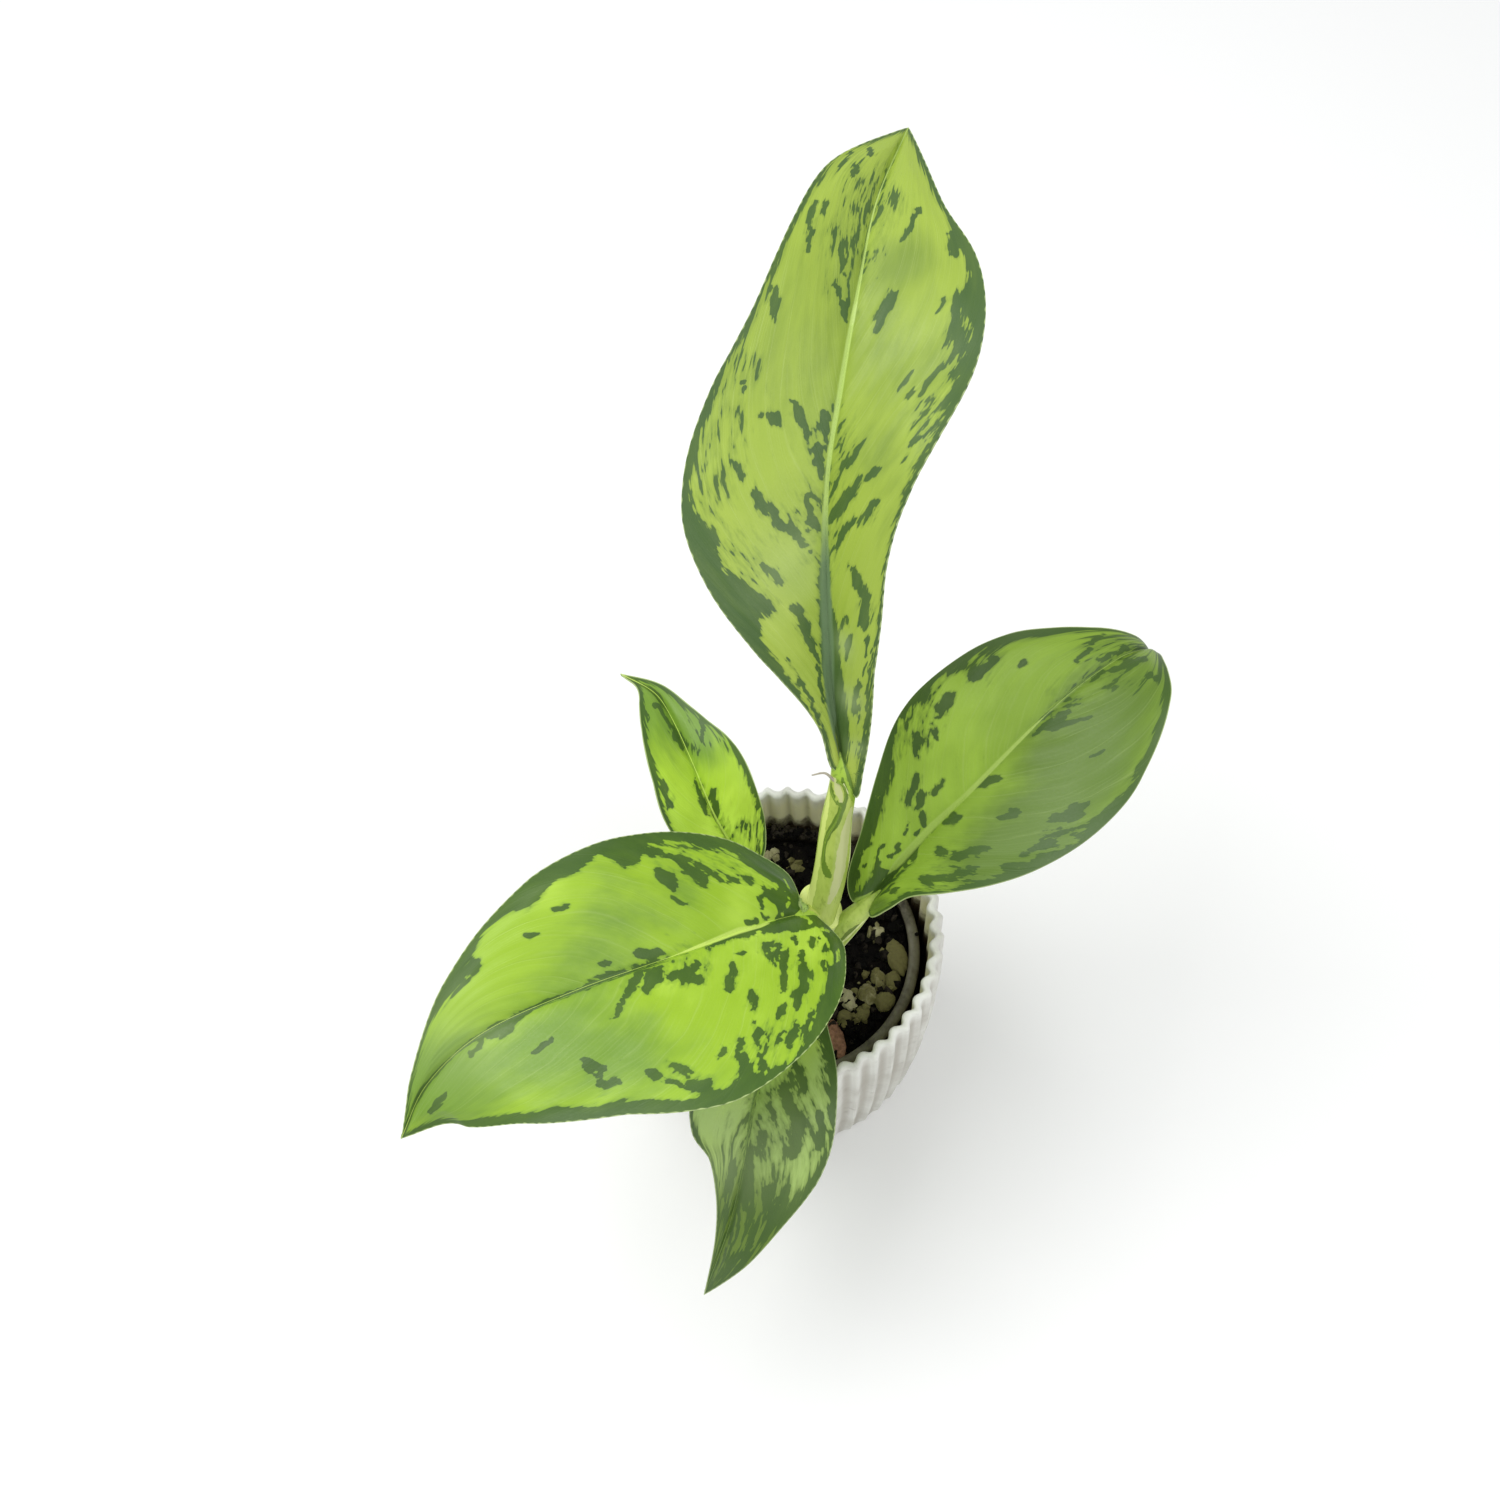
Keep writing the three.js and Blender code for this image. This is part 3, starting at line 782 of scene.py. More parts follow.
@dataclass(frozen=True)
class PlasticFinish:
    """The finish of moulded plastic with soil dust, painted shade and painted inner light on it.
    """

    base: Colour
    shade: Colour
    dust_and_shade: Colour
    # Painted light: a warmer, brighter colour for the lit inner wall.
    painted_inner_light: Colour
    roughness: float
    gloss: float = 0.5

    def material(self, name: str, groups: "SharedGroups") -> bpy.types.Material:
        """Build the finish.

        A piece stores dust (clinging soil and painted shade), the share of painted shade, and
        inside (the share of painted inner light).

        Args:
            name: The material's name.
            groups: The shared node groups.

        Returns:
            The material.
        """
        material, nodes = new_material(name)
        place = nodes.own_place()
        clouds = nodes.noise(place, 55, 4, 0.6)
        grain = nodes.noise(place, 2600, 2, 0.5)
        skin = nodes.mix(nodes.ramp(clouds, 0.3, 0.75, 0, 0.5), self.base, self.shade)
        # Painted inner light, where a piece stores inside.
        skin = nodes.mix(nodes.stored("inside"), skin, self.painted_inner_light)
        # Painted shade, mixed in by its stored share.
        skin = nodes.mix(nodes.stored("painted_shade"), skin, self.shade)
        # Soil dust and painted shade, laid in patches.
        dust_and_shade = nodes.group(groups.dust_and_shade, {"Place": place, "Amount": nodes.stored("dust_and_shade")})
        skin = nodes.mix(dust_and_shade.outputs["Mask"], skin, self.dust_and_shade)
        rough = nodes.math("MULTIPLY_ADD", clouds, 0.12, self.roughness - 0.06)
        rough = nodes.math("MULTIPLY_ADD", dust_and_shade.outputs["Mask"], 0.3, rough, clamp=True)
        nodes.surface({"Base Color": skin, "Roughness": rough, "Specular IOR Level": self.gloss,
                       "Normal": nodes.bump(grain, 0.02, 0.35)})
        return material


@dataclass(frozen=True)
class GroundFinish:
    """The finish of soil, grains and bark: rough, with paler specks."""

    base: Colour
    other: Colour
    speck: Colour
    scale: float
    specks: float = 0.15
    roughness: float = 0.9
    relief: float = 0.35
    gloss: float = 0.25

    def material(self, name: str) -> bpy.types.Material:
        """Build the finish; a piece's stored tone shifts it from base to other.

        Args:
            name: The material's name.

        Returns:
            The material.
        """
        material, nodes = new_material(name)
        place = nodes.own_place()
        clouds = nodes.noise(place, self.scale, 5, 0.65)
        pores = nodes.noise(place, self.scale * 5, 4, 0.7)
        tone = nodes.math("ADD", clouds, nodes.math("SUBTRACT", nodes.stored("tone"), 0.5))
        skin = nodes.mix(nodes.ramp(tone, 0.3, 0.75), self.base, self.other)
        flecks = nodes.ramp(pores, 0.62, 0.7, 0, self.specks)
        skin = nodes.mix(flecks, skin, self.speck)
        height = nodes.math("MULTIPLY_ADD", pores, 0.6, clouds)
        rough = nodes.ramp(pores, 0.3, 0.7, self.roughness - 0.12, self.roughness)
        nodes.surface({"Base Color": skin, "Roughness": rough, "Specular IOR Level": self.gloss,
                       "Normal": nodes.bump(height, self.relief, 0.9)})
        return material


@dataclass
class SharedGroups:
    """The node groups that more than one finish uses."""

    mottling: bpy.types.NodeTree = field(default_factory=mottling_group)
    veining: bpy.types.NodeTree = field(default_factory=veining_group)
    dust_and_shade: bpy.types.NodeTree = field(default_factory=dust_and_shade_group)


@dataclass
class FlutedPot:
    """The white outer pot, with flutes that run from its foot to its rim."""

    height: float = 70
    rim_radius: float = 41.2
    base_radius: float = 35.6
    taper: float = 2.2
    wall: float = 2.5
    floor: float = 2.6
    foot: float = 1.6
    flutes: int = 48
    flute_depth: float = 0.75
    per_flute: int = 12
    fade: float = 5
    turn: float = -1.5
    soiled: float = 57
    bare_rim: float = 0.6
    crease: float = 40
    finish: PlasticFinish = PlasticFinish(
        base=srgb(232, 233, 226), shade=srgb(150, 143, 128), dust_and_shade=srgb(84, 68, 44),
        painted_inner_light=srgb(240, 236, 196), roughness=0.38, gloss=0.5)

    def middle(self, z: float) -> float:
        """Return the radius of the wall's middle at a height."""
        drop = ((self.height - z) / self.height) ** self.taper
        return self.rim_radius - (self.rim_radius - self.base_radius) * drop

    def outline(self) -> list[Pair]:
        """List the rings from the foot over the rim to the inner floor.

        Returns:
            The (radius, height) of each.
        """
        half, foot = self.wall / 2, self.foot
        rings = [(self.middle(0) + half - foot, 0.0)]
        for step in (1, 2, 3):
            turn = step * math.pi / 6
            rings.append((self.middle(foot) + half - foot * (1 - math.sin(turn)),
                          foot * (1 - math.cos(turn))))
        levels = np.linspace(foot + 3, self.height - half, 14)
        rings += [(self.middle(z) + half, float(z)) for z in levels]
        for step in range(1, 6):
            turn = step * math.pi / 6
            rings.append((self.middle(self.height) + half * math.cos(turn),
                          self.height - half + half * math.sin(turn)))
        rings += [(self.middle(z) - half, float(z)) for z in levels[::-1]]
        rings.append((self.middle(self.floor) - self.wall - 1, self.floor))
        return rings

    def build(self, groups: SharedGroups) -> None:
        """Turn the body, press its flutes and finish it.

        Args:
            groups: The shared node groups.
        """
        piece = turned("pot_fluted", self.outline(), self.flutes * self.per_flute)
        places = points_of(piece) / MM
        radius = np.hypot(places[:, 0], places[:, 1])
        angle = (np.arctan2(places[:, 1], places[:, 0]) - math.radians(self.turn)) * self.flutes
        wave = (np.cos(angle) + 0.14 * np.cos(2 * angle)) / 1.05
        wall = radius > self.base_radius - self.wall
        fade = np.clip(places[:, 2] / self.fade, 0, 1) * wall
        scale = 1 + self.flute_depth * wave * fade / radius
        places[:, :2] *= scale[:, None]
        move_points(piece, places * MM)
        middle = np.array([self.middle(z) for z in places[:, 2]])
        inside = radius < middle - 0.1
        low = np.clip((self.soiled - places[:, 2]) / self.fade, 0, 1)
        # Soil dust and painted shade, heavier down the inner wall towards the gap between the
        # pots.
        mark(piece, "dust_and_shade", np.where(inside, 0.02 + 0.7 * low, 0.02))
        below = np.clip((self.height - self.bare_rim - places[:, 2]) / 2, 0, 1)
        # Painted inner light over the inner wall, below the bare rim.
        mark(piece, "inside", below * inside)
        # Painted shade: darker in the flutes' hollows, and over the whole outer wall; the rim's
        # top stays bare.
        mark(piece, "painted_shade", below * np.where(inside, 0.2 * np.clip(wave, 0, 1),
                                             0.2 + 0.65 * np.clip(-wave, 0, 1)))
        soften(piece, self.crease)
        finish = self.finish.material("white_plastic", groups)
        settle(piece, finish, "pot_plastic", "outer_pot")


@dataclass
class NurseryPot:
    """The thin dark pot that holds the soil, with a lipped rim and drain holes."""

    rim: float = 57
    rim_radius: float = 37.2
    base_radius: float = 27.5
    foot: float = 2.7
    wall: float = 1.0
    step: float = 0.9
    lip: float = 3.0
    lip_height: float = 2.4
    crown: float = 1.1
    soft: float = 0.3
    bare_rim: float = 0.6
    holes: int = 6
    hole_radius: float = 3
    hole_ring: float = 17
    segments: int = 144
    crease: float = 35
    finish: PlasticFinish = PlasticFinish(
        base=srgb(106, 103, 86), shade=srgb(70, 66, 52), dust_and_shade=srgb(34, 28, 19),
        painted_inner_light=srgb(106, 103, 86), roughness=0.5, gloss=0.3)

    def wall_radius(self, z: float) -> float:
        """Return the outer radius of the wall at a height."""
        share = (z - self.foot) / (self.rim - self.foot)
        return self.base_radius + (self.rim_radius - self.step - self.base_radius) * share

    def outline(self) -> list[Pair]:
        """List the rings from the foot over the lip to the inner floor.

        Returns:
            The (radius, height) of each.
        """
        lip_foot = self.rim - self.lip_height
        edge = self.rim_radius
        rings = [(self.base_radius, self.foot), (self.wall_radius(lip_foot), lip_foot),
                 (edge - self.soft, lip_foot), (edge, lip_foot + self.soft)]
        for step in range(9):
            turn = step * math.pi / 8
            rings.append((edge - self.lip / 2 * (1 - math.cos(turn)),
                          self.rim - self.crown * (1 - math.sin(turn))))
        return rings + [(self.wall_radius(lip_foot) - self.wall, lip_foot - self.wall),
                        (self.base_radius - self.wall, self.foot + self.wall)]

    def build(self, groups: SharedGroups) -> None:
        """Turn the pot, drill its floor and finish it.

        Args:
            groups: The shared node groups.
        """
        piece = turned("pot_nursery", self.outline(), self.segments)
        for index in range(self.holes):
            angle = 2 * math.pi * index / self.holes
            centre = Vector((math.cos(angle), math.sin(angle), 0)) * self.hole_ring * MM
            bpy.ops.mesh.primitive_cylinder_add(
                vertices=24, radius=self.hole_radius * MM, depth=6 * self.wall * MM,
                location=centre + Vector((0, 0, self.foot * MM)))
            drill = added("drill")
            modify(piece, "BOOLEAN", operation="DIFFERENCE", object=drill, solver="EXACT")
            bpy.data.objects.remove(drill)
        places = points_of(piece) / MM
        low = np.clip((self.rim - self.bare_rim - places[:, 2]) / 3, 0, 1)
        back = np.clip(places[:, 1] / self.rim_radius, 0, 1)
        # Soil dust and painted shade, heavier down the wall and over the back half.
        mark(piece, "dust_and_shade", 0.2 + 0.6 * low + 0.8 * back)
        # Painted shade on the wall below the lip, down between the pots.
        mark(piece, "painted_shade", low)
        soften(piece, self.crease)
        finish = self.finish.material("nursery_plastic", groups)
        settle(piece, finish, "liner_plastic", "nursery_pot")


def scattered(name: str, centres: np.ndarray, sizes: np.ndarray, tones: np.ndarray,
              random: np.random.Generator) -> bpy.types.Object:
    """Build many rough crumbs of a few faces as one piece.

    Args:
        name: The piece's name.
        centres: The middle of each crumb, in millimetres.
        sizes: The radius of each crumb, in millimetres.
        tones: The stored tone of each crumb.
        random: The source of the crumbs' shapes.

    Returns:
        The piece, without a material.
    """
    bpy.ops.mesh.primitive_ico_sphere_add(subdivisions=1, radius=1)
    piece = added(name)
    ball = points_of(piece)
    faces = np.array([list(f.vertices) for f in piece.data.polygons])
    places, corners = [], []
    for i, centre in enumerate(centres):
        shape = ball * (0.6 + 0.8 * random.random((len(ball), 1)))
        shape = shape * sizes[i] * (0.7 + 0.6 * random.random(3))
        turn = Matrix.Rotation(6.28 * random.random(), 3, random.random(3) + 0.1)
        corners.append(faces + len(ball) * i)
        places.append(shape @ np.array(turn) + centre)
    piece.data.clear_geometry()
    piece.data.from_pydata((np.concatenate(places) * MM).tolist(), [],
                           np.concatenate(corners).tolist())
    mark(piece, "tone", np.repeat(tones, len(ball)))
    soften(piece, 30)
    return piece


@dataclass
class Ground:
    """The potting soil: a crumbly bed with loose crumbs on it."""

    level: float = 54.8
    depth: float = 50.7
    top_radius: float = 34.0
    foot_radius: float = 26.0
    rings: int = 30
    segments: int = 132
    crumbs: int = 1700
    crumb_sizes: Pair = (0.35, 1.25)
    heaped: int = 260
    heap: Pair = (33.4, 3.4)
    heap_level: float = 57.1
    heap_turn: Pair = (95, 34)
    crease: float = 75
    seed: int = 17
    bed: GroundFinish = GroundFinish(
        base=srgb(5, 4, 3), other=srgb(17, 13, 9), speck=srgb(70, 62, 48),
        scale=420, specks=0.12, relief=0.7, gloss=0.1)
    crumb: GroundFinish = GroundFinish(
        base=srgb(5, 4, 3), other=srgb(44, 39, 32), speck=srgb(84, 78, 66),
        scale=600, specks=0.2, relief=0.4, gloss=0.1)

    def height(self, x: np.ndarray, y: np.ndarray) -> np.ndarray:
        """Find how far the bed stands above its level.

        Args:
            x, y: Places on it.

        Returns:
            The heights.
        """
        rim = np.hypot(x, y) / self.top_radius
        return (0.9 * waves(x, y, 13, 0.4) + 0.7 * waves(y, x, 5.2, 1.9)
                + 0.4 * waves(x + y, x - y, 2.3, 3.1)) * (1 - 0.6 * rim**6) - 0.5 * rim**4

    def build(self) -> None:
        """Build the bed and its crumbs."""
        self.build_bed()
        self.build_crumbs()

    def build_bed(self) -> None:
        """Build the bed from a cylinder whose top is inset ring by ring."""
        top = self.level - 1.5
        foot = self.level - self.depth
        piece = turned("soil_bed", [(self.foot_radius, foot), (self.top_radius, top),
                                    (self.top_radius - 0.6, self.level)], self.segments)
        for face in piece.data.polygons:
            face.select = face.center.z > (self.level - 0.1) * MM
        with editing(piece):
            step = (self.top_radius - 0.6) / (self.rings + 1) * MM
            for _ in range(self.rings):
                bpy.ops.mesh.inset(thickness=step)
            bpy.ops.mesh.poke()
        places = points_of(piece) / MM
        upper = places[:, 2] > self.level - 0.1
        lift = self.height(places[:, 0], places[:, 1])
        places[:, 2] += np.where(upper, lift, 0)
        move_points(piece, places * MM)
        mark(piece, "tone", 0.5 + 0.3 * waves(places[:, 0], places[:, 1], 9, 2.2))
        soften(piece, self.crease)
        settle(piece, self.bed.material("soil_bed"), "potting_soil", "soil")

    def build_crumbs(self) -> None:
        """Scatter crumbs of a few faces over the bed, as one piece."""
        random = np.random.default_rng(self.seed)
        radius = (self.top_radius - 1.2) * np.sqrt(random.random(self.crumbs))
        angle = 2 * math.pi * random.random(self.crumbs)
        heaped = random.random(self.crumbs) < self.heaped / self.crumbs
        ring = self.heap[0] + self.heap[1] * random.random(self.crumbs)
        radius = np.where(heaped, ring, radius)
        angle = np.where(heaped, np.radians(random.normal(*self.heap_turn, self.crumbs)), angle)
        x, y = radius * np.cos(angle), radius * np.sin(angle)
        lift = np.where(heaped, self.heap_level - self.level, self.height(x, y))
        small, more = self.crumb_sizes
        size = small + more * random.random(self.crumbs) ** 2.4 * np.where(heaped, 0.5, 1)
        tones = random.random(self.crumbs) ** 4 * np.where(heaped, 1.3, 0.9)
        centres = np.stack([x, y, self.level + lift + 0.25 * size], 1)
        piece = scattered("soil_crumbs", centres, size, tones, random)
        settle(piece, self.crumb.material("soil_crumb"), "potting_soil")


@dataclass
class Lumps:
    """The pumice grains and the chip of bark, refined from their solids."""

    pumice: GroundFinish = GroundFinish(
        base=srgb(98, 94, 56), other=srgb(156, 152, 118), speck=srgb(78, 74, 46),
        scale=300, specks=0.25, roughness=0.9, relief=0.12)
    tones: tuple[float, ...] = (0.15, 0.3, 0.1, 0.4, 0.2, 0.85, 0.6, 0.1, 0.15, 0.6, 0.3, 0.4)
    swell: tuple[float, float, float] = (1.36, 1.36, 1.16)
    chips: int = 9
    chip_sizes: Pair = (0.4, 1.1)
    crease: float = 60
    seed: int = 5
    bark: GroundFinish = GroundFinish(
        base=srgb(108, 78, 58), other=srgb(164, 122, 98), speck=srgb(66, 44, 32),
        scale=260, specks=0.4, roughness=0.85, relief=0.35)

    def build(self) -> None:
        """Refine and finish each lump."""
        stone = self.pumice.material("pumice_stone")
        wood = self.bark.material("bark_wood")
        for index, tone in enumerate(self.tones):
            self.refine(f"pumice_{index + 1}", index, stone, "pumice", tone)
        self.refine("bark_chip", self.seed, wood, "bark", 0.5)
        self.build_chips(stone)

    def build_chips(self, material: bpy.types.Material) -> None:
        """Scatter small chips of pumice round the grains, as one piece.

        Args:
            material: Their finish.
        """
        random = np.random.default_rng(self.seed)
        boxes = [np.array(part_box(f"pumice_{i + 1}")) / MM for i in range(len(self.tones))]
        middles = np.repeat([box.mean(axis=0)[:2] for box in boxes], self.chips, axis=0)
        reach = np.repeat([np.ptp(box, axis=0)[:2].mean() / 2 for box in boxes], self.chips)
        tones = np.repeat(self.tones, self.chips) * 0.8
        angle = 2 * math.pi * random.random(len(reach))
        away = reach * (0.9 + 0.9 * random.random(len(reach)))
        x = middles[:, 0] + away * np.cos(angle)
        y = middles[:, 1] + away * np.sin(angle)
        size = self.chip_sizes[0] + self.chip_sizes[1] * random.random(len(reach)) ** 1.6
        ground = Ground()
        z = ground.level + ground.height(x, y) + 0.35 * size
        inside = np.hypot(x, y) + size < ground.top_radius - 1.5
        piece = scattered("pumice_chips", np.stack([x, y, z], 1)[inside], size[inside],
                          tones[inside], random)
        settle(piece, material, "pumice")

    def refine(self, node: str, seed: int, material: bpy.types.Material, slot: str,
               tone: float) -> None:
        """Round a copy of a lump's solid, roughen it and finish it.

        Args:
            node: The solid's node.
            seed: Picks its roughness.
            material: Its finish.
            slot: The record's slot for it.
            tone: Its share of the finish's other colour.
        """
        solid = frame["nodes"][node]
        choose(solid)
        bpy.ops.object.duplicate()
        piece = added(f"{node}_rough")
        bpy.ops.object.parent_clear(type="CLEAR_KEEP_TRANSFORM")
        for key in list(piece.keys()):
            del piece[key]
        piece.data.materials.clear()
        tidy(piece)
        modify(piece, "SUBSURF", levels=3, render_levels=3)
        places = points_of(piece) / MM
        centre = places.mean(axis=0)
        out = places - centre
        pits = waves(out[:, 0] + out[:, 2], out[:, 1] - out[:, 2], 1.7, seed)
        rough = waves(out[:, 0] - out[:, 1], out[:, 2] + out[:, 0], 0.8, seed + 2)
        places = centre + out * (np.array(self.swell) + (0.09 * pits + 0.03 * rough)[:, None])
        move_points(piece, places * MM)
        mark(piece, "tone", tone + 0.08 * pits)
        soften(piece, self.crease)
        settle(piece, material, slot, node)


@dataclass
class Cane:
    """The cane that the leaves grow from, with rings where old leaves stood."""

    path: tuple[Point, ...] = ((-1, -8, 32), (2, -8, 54), (6, -8, 74), (9.6, -8, 91.7))
    radii: tuple[float, ...] = (4.6, 4.9, 4.7, 4.3)
    rings: tuple[float, ...] = (57, 65, 74, 84)
    swell: float = 0.5
    dip: float = 1.3
    mesh: tuple[int, int] = (101, 72)
    finish: StalkFinish = StalkFinish(
        pale=srgb(178, 184, 108), green=srgb(122, 140, 62), spot=srgb(110, 104, 60))

    def build(self) -> None:
        """Build the cane and finish it."""
        path = SmoothPath(self.path)

        def radius(share: np.ndarray, angle: np.ndarray) -> np.ndarray:
            """Shape the cane with its rings and faint ribs.

            Args:
                share: How far along the cane.
                angle: Where round it, in radians.

            Returns:
                The radius there.
            """
            up = path.at(share * path.length)[:, 2]
            ridge = sum(np.exp(-((up - z) ** 2) / 0.5) - 0.5 * np.exp(-((up - z - self.dip) ** 2))
                        for z in self.rings)
            ribs = 0.06 * np.sin(7 * angle + 9 * share)
            return path.spread(self.radii, share) + self.swell * ridge + ribs

        piece = tube("cane", path, radius, *self.mesh)
        settle(piece, self.finish.material("cane_skin"), "stem_skin", "stem")


@dataclass(frozen=True)
class Stroke:
    """One mark on a blade: from one place to another, and its half width."""

    from_s: float
    from_w: float
    to_s: float
    to_w: float
    half: float

    def bias(self, s: np.ndarray, w: np.ndarray, fullness: float = 1.0) -> np.ndarray:
        """Find how dark the mark makes each place.

        Args:
            s, w: Distances along and across the rib.
            fullness: Scales its width.

        Returns:
            Above 0 where it is dark.
        """
        s, w = s - self.from_s, w - self.from_w
        ds, dw = self.to_s - self.from_s, self.to_w - self.from_w
        part = np.clip((s * ds + w * dw) / (ds**2 + dw**2), 0, 1)
        away = np.hypot(s - part * ds, w - part * dw)
        half = fullness * self.half * (0.7 + 0.3 * np.sin(math.pi * part))
        return np.clip(0.5 * (1 - away / half), -0.8, 0.5)


@dataclass(frozen=True)
class Patch:
    """A round region of a blade: its middle, how far it reaches, and a value."""

    s: float
    w: float
    reach: float
    value: float

    def weight(self, s: np.ndarray, w: np.ndarray) -> np.ndarray:
        """Return the region's strength at places, 1 in its middle."""
        return np.exp(-(((s - self.s) ** 2 + (w - self.w) ** 2) / self.reach**2))


@dataclass(frozen=True)
class Markings:
    """Where a blade is dark. Places are (along the rib, across it; left is minus).

    Each row of strokes and clears holds a Stroke's numbers, and each of the others a Patch's.
    """

    margin_left: tuple[Band, ...]
    margin_right: tuple[Band, ...]
    rib_left: tuple[Band, ...]
    rib_right: tuple[Band, ...]
    rib_line: tuple[Pair, ...]
    strokes: tuple[Row, ...]
    mottles: tuple[Row, ...]
    # Regional tones: partly the leaf's own fresher and deeper green, partly painted light and
    # shade.
    tones: tuple[Row, ...]
    clears: tuple[Row, ...] = ()
    sheens: tuple[Row, ...] = ()
    rib_shift: tuple[Pair, ...] = ((0, 0), (1, 0))
    fullness: float = 1.0
    ground: float = -0.62

    def bias(self, s: np.ndarray, w: np.ndarray, edge: np.ndarray) -> np.ndarray:
        """Return how dark each place tends to be: above 0 it is dark.

        Args:
            s: Distance along the rib.
            w: Distance across it.
            edge: Distance from the blade's margin.

        Returns:
            The tendency, from about -1 to 1.
        """
        left = w < 0
        level = np.full_like(s, self.ground)
        for distance, bands in ((edge, (self.margin_left, self.margin_right)),
                                (np.abs(w), (self.rib_left, self.rib_right))):
            width, ragged = (np.where(left, band_value(bands[0], s, part),
                                      band_value(bands[1], s, part)) for part in (1, 2))
            level = np.maximum(level, np.clip((width - distance) / ragged, -0.8, 0.7))
        for patch in (Patch(*row) for row in self.mottles):
            weight = np.clip(1.6 * patch.weight(s, w), 0, 1)
            level = level + (patch.value - level) * weight
        solid = band_value(self.margin_left, s, 1), band_value(self.margin_right, s, 1)
        level = np.maximum(level, np.clip((0.55 * np.where(left, *solid) - edge) / 2.4, -0.8, 0.7))
        x = s + 0.6 * waves(s, w, 6.5, 1.3)
        y = w + 0.6 * waves(w, s, 5.5, 2.9)
        for row in self.strokes:
            level = np.maximum(level, Stroke(*row).bias(x, y, self.fullness))
        for row in self.clears:
            level = np.minimum(level, -Stroke(*row).bias(x, y))
        return level


def patched(rows: Sequence[Row], s: np.ndarray, w: np.ndarray) -> np.ndarray:
    """Add up patches' values.

    Args:
        rows: Their numbers.
        s, w: Distances along and across the rib.

    Returns:
        The sum at each place.
    """
    patches = [Patch(*row) for row in rows]
    return sum((p.value * p.weight(s, w) for p in patches), np.zeros_like(s))


@dataclass(frozen=True)
class SkinBand:
    """A band painted along a stalk: (share along, degrees round, half width) spots."""

    paint: Paint
    spots: tuple[Band, ...]
    blur: float = 0.8

    def cover(self, share: np.ndarray, angle: np.ndarray, around: float) -> np.ndarray:
        """Return how fully the band covers the skin.

        Args:
            share: How far along the stalk each place lies.
            angle: Where round the stalk it lies, in degrees.
            around: The stalk's radius.

        Returns:
            1 within the band, 0 well outside it.
        """
        along, middle, half = (np.array(part) for part in zip(*self.spots))
        turn = (angle - np.interp(share, along, middle) + 180) % 360 - 180
        away = np.abs(np.radians(turn)) * around - np.interp(share, along, half)
        past = np.maximum(along[0] - share, share - along[-1]) * 50
        return np.clip(0.5 - np.maximum(away, past) / self.blur, 0, 1)


@dataclass(frozen=True)
class LeafShape:
    """A leaf's form: its stalk, the rib of its blade and the blade's flat outlines."""

    name: str
    stalk: tuple[Point, ...]
    stalk_radii: tuple[float, ...]
    rib: tuple[Point, ...]
    left: tuple[Pair, ...]
    right: tuple[Pair, ...]
    fold_left: tuple[float, ...]
    fold_right: tuple[float, ...]
    ripple: Pair
    keel: float
    bulge: float
    rows: int
    columns: int
    stalk_mesh: tuple[int, int] = (101, 60)
    bands: tuple[SkinBand, ...] = ()


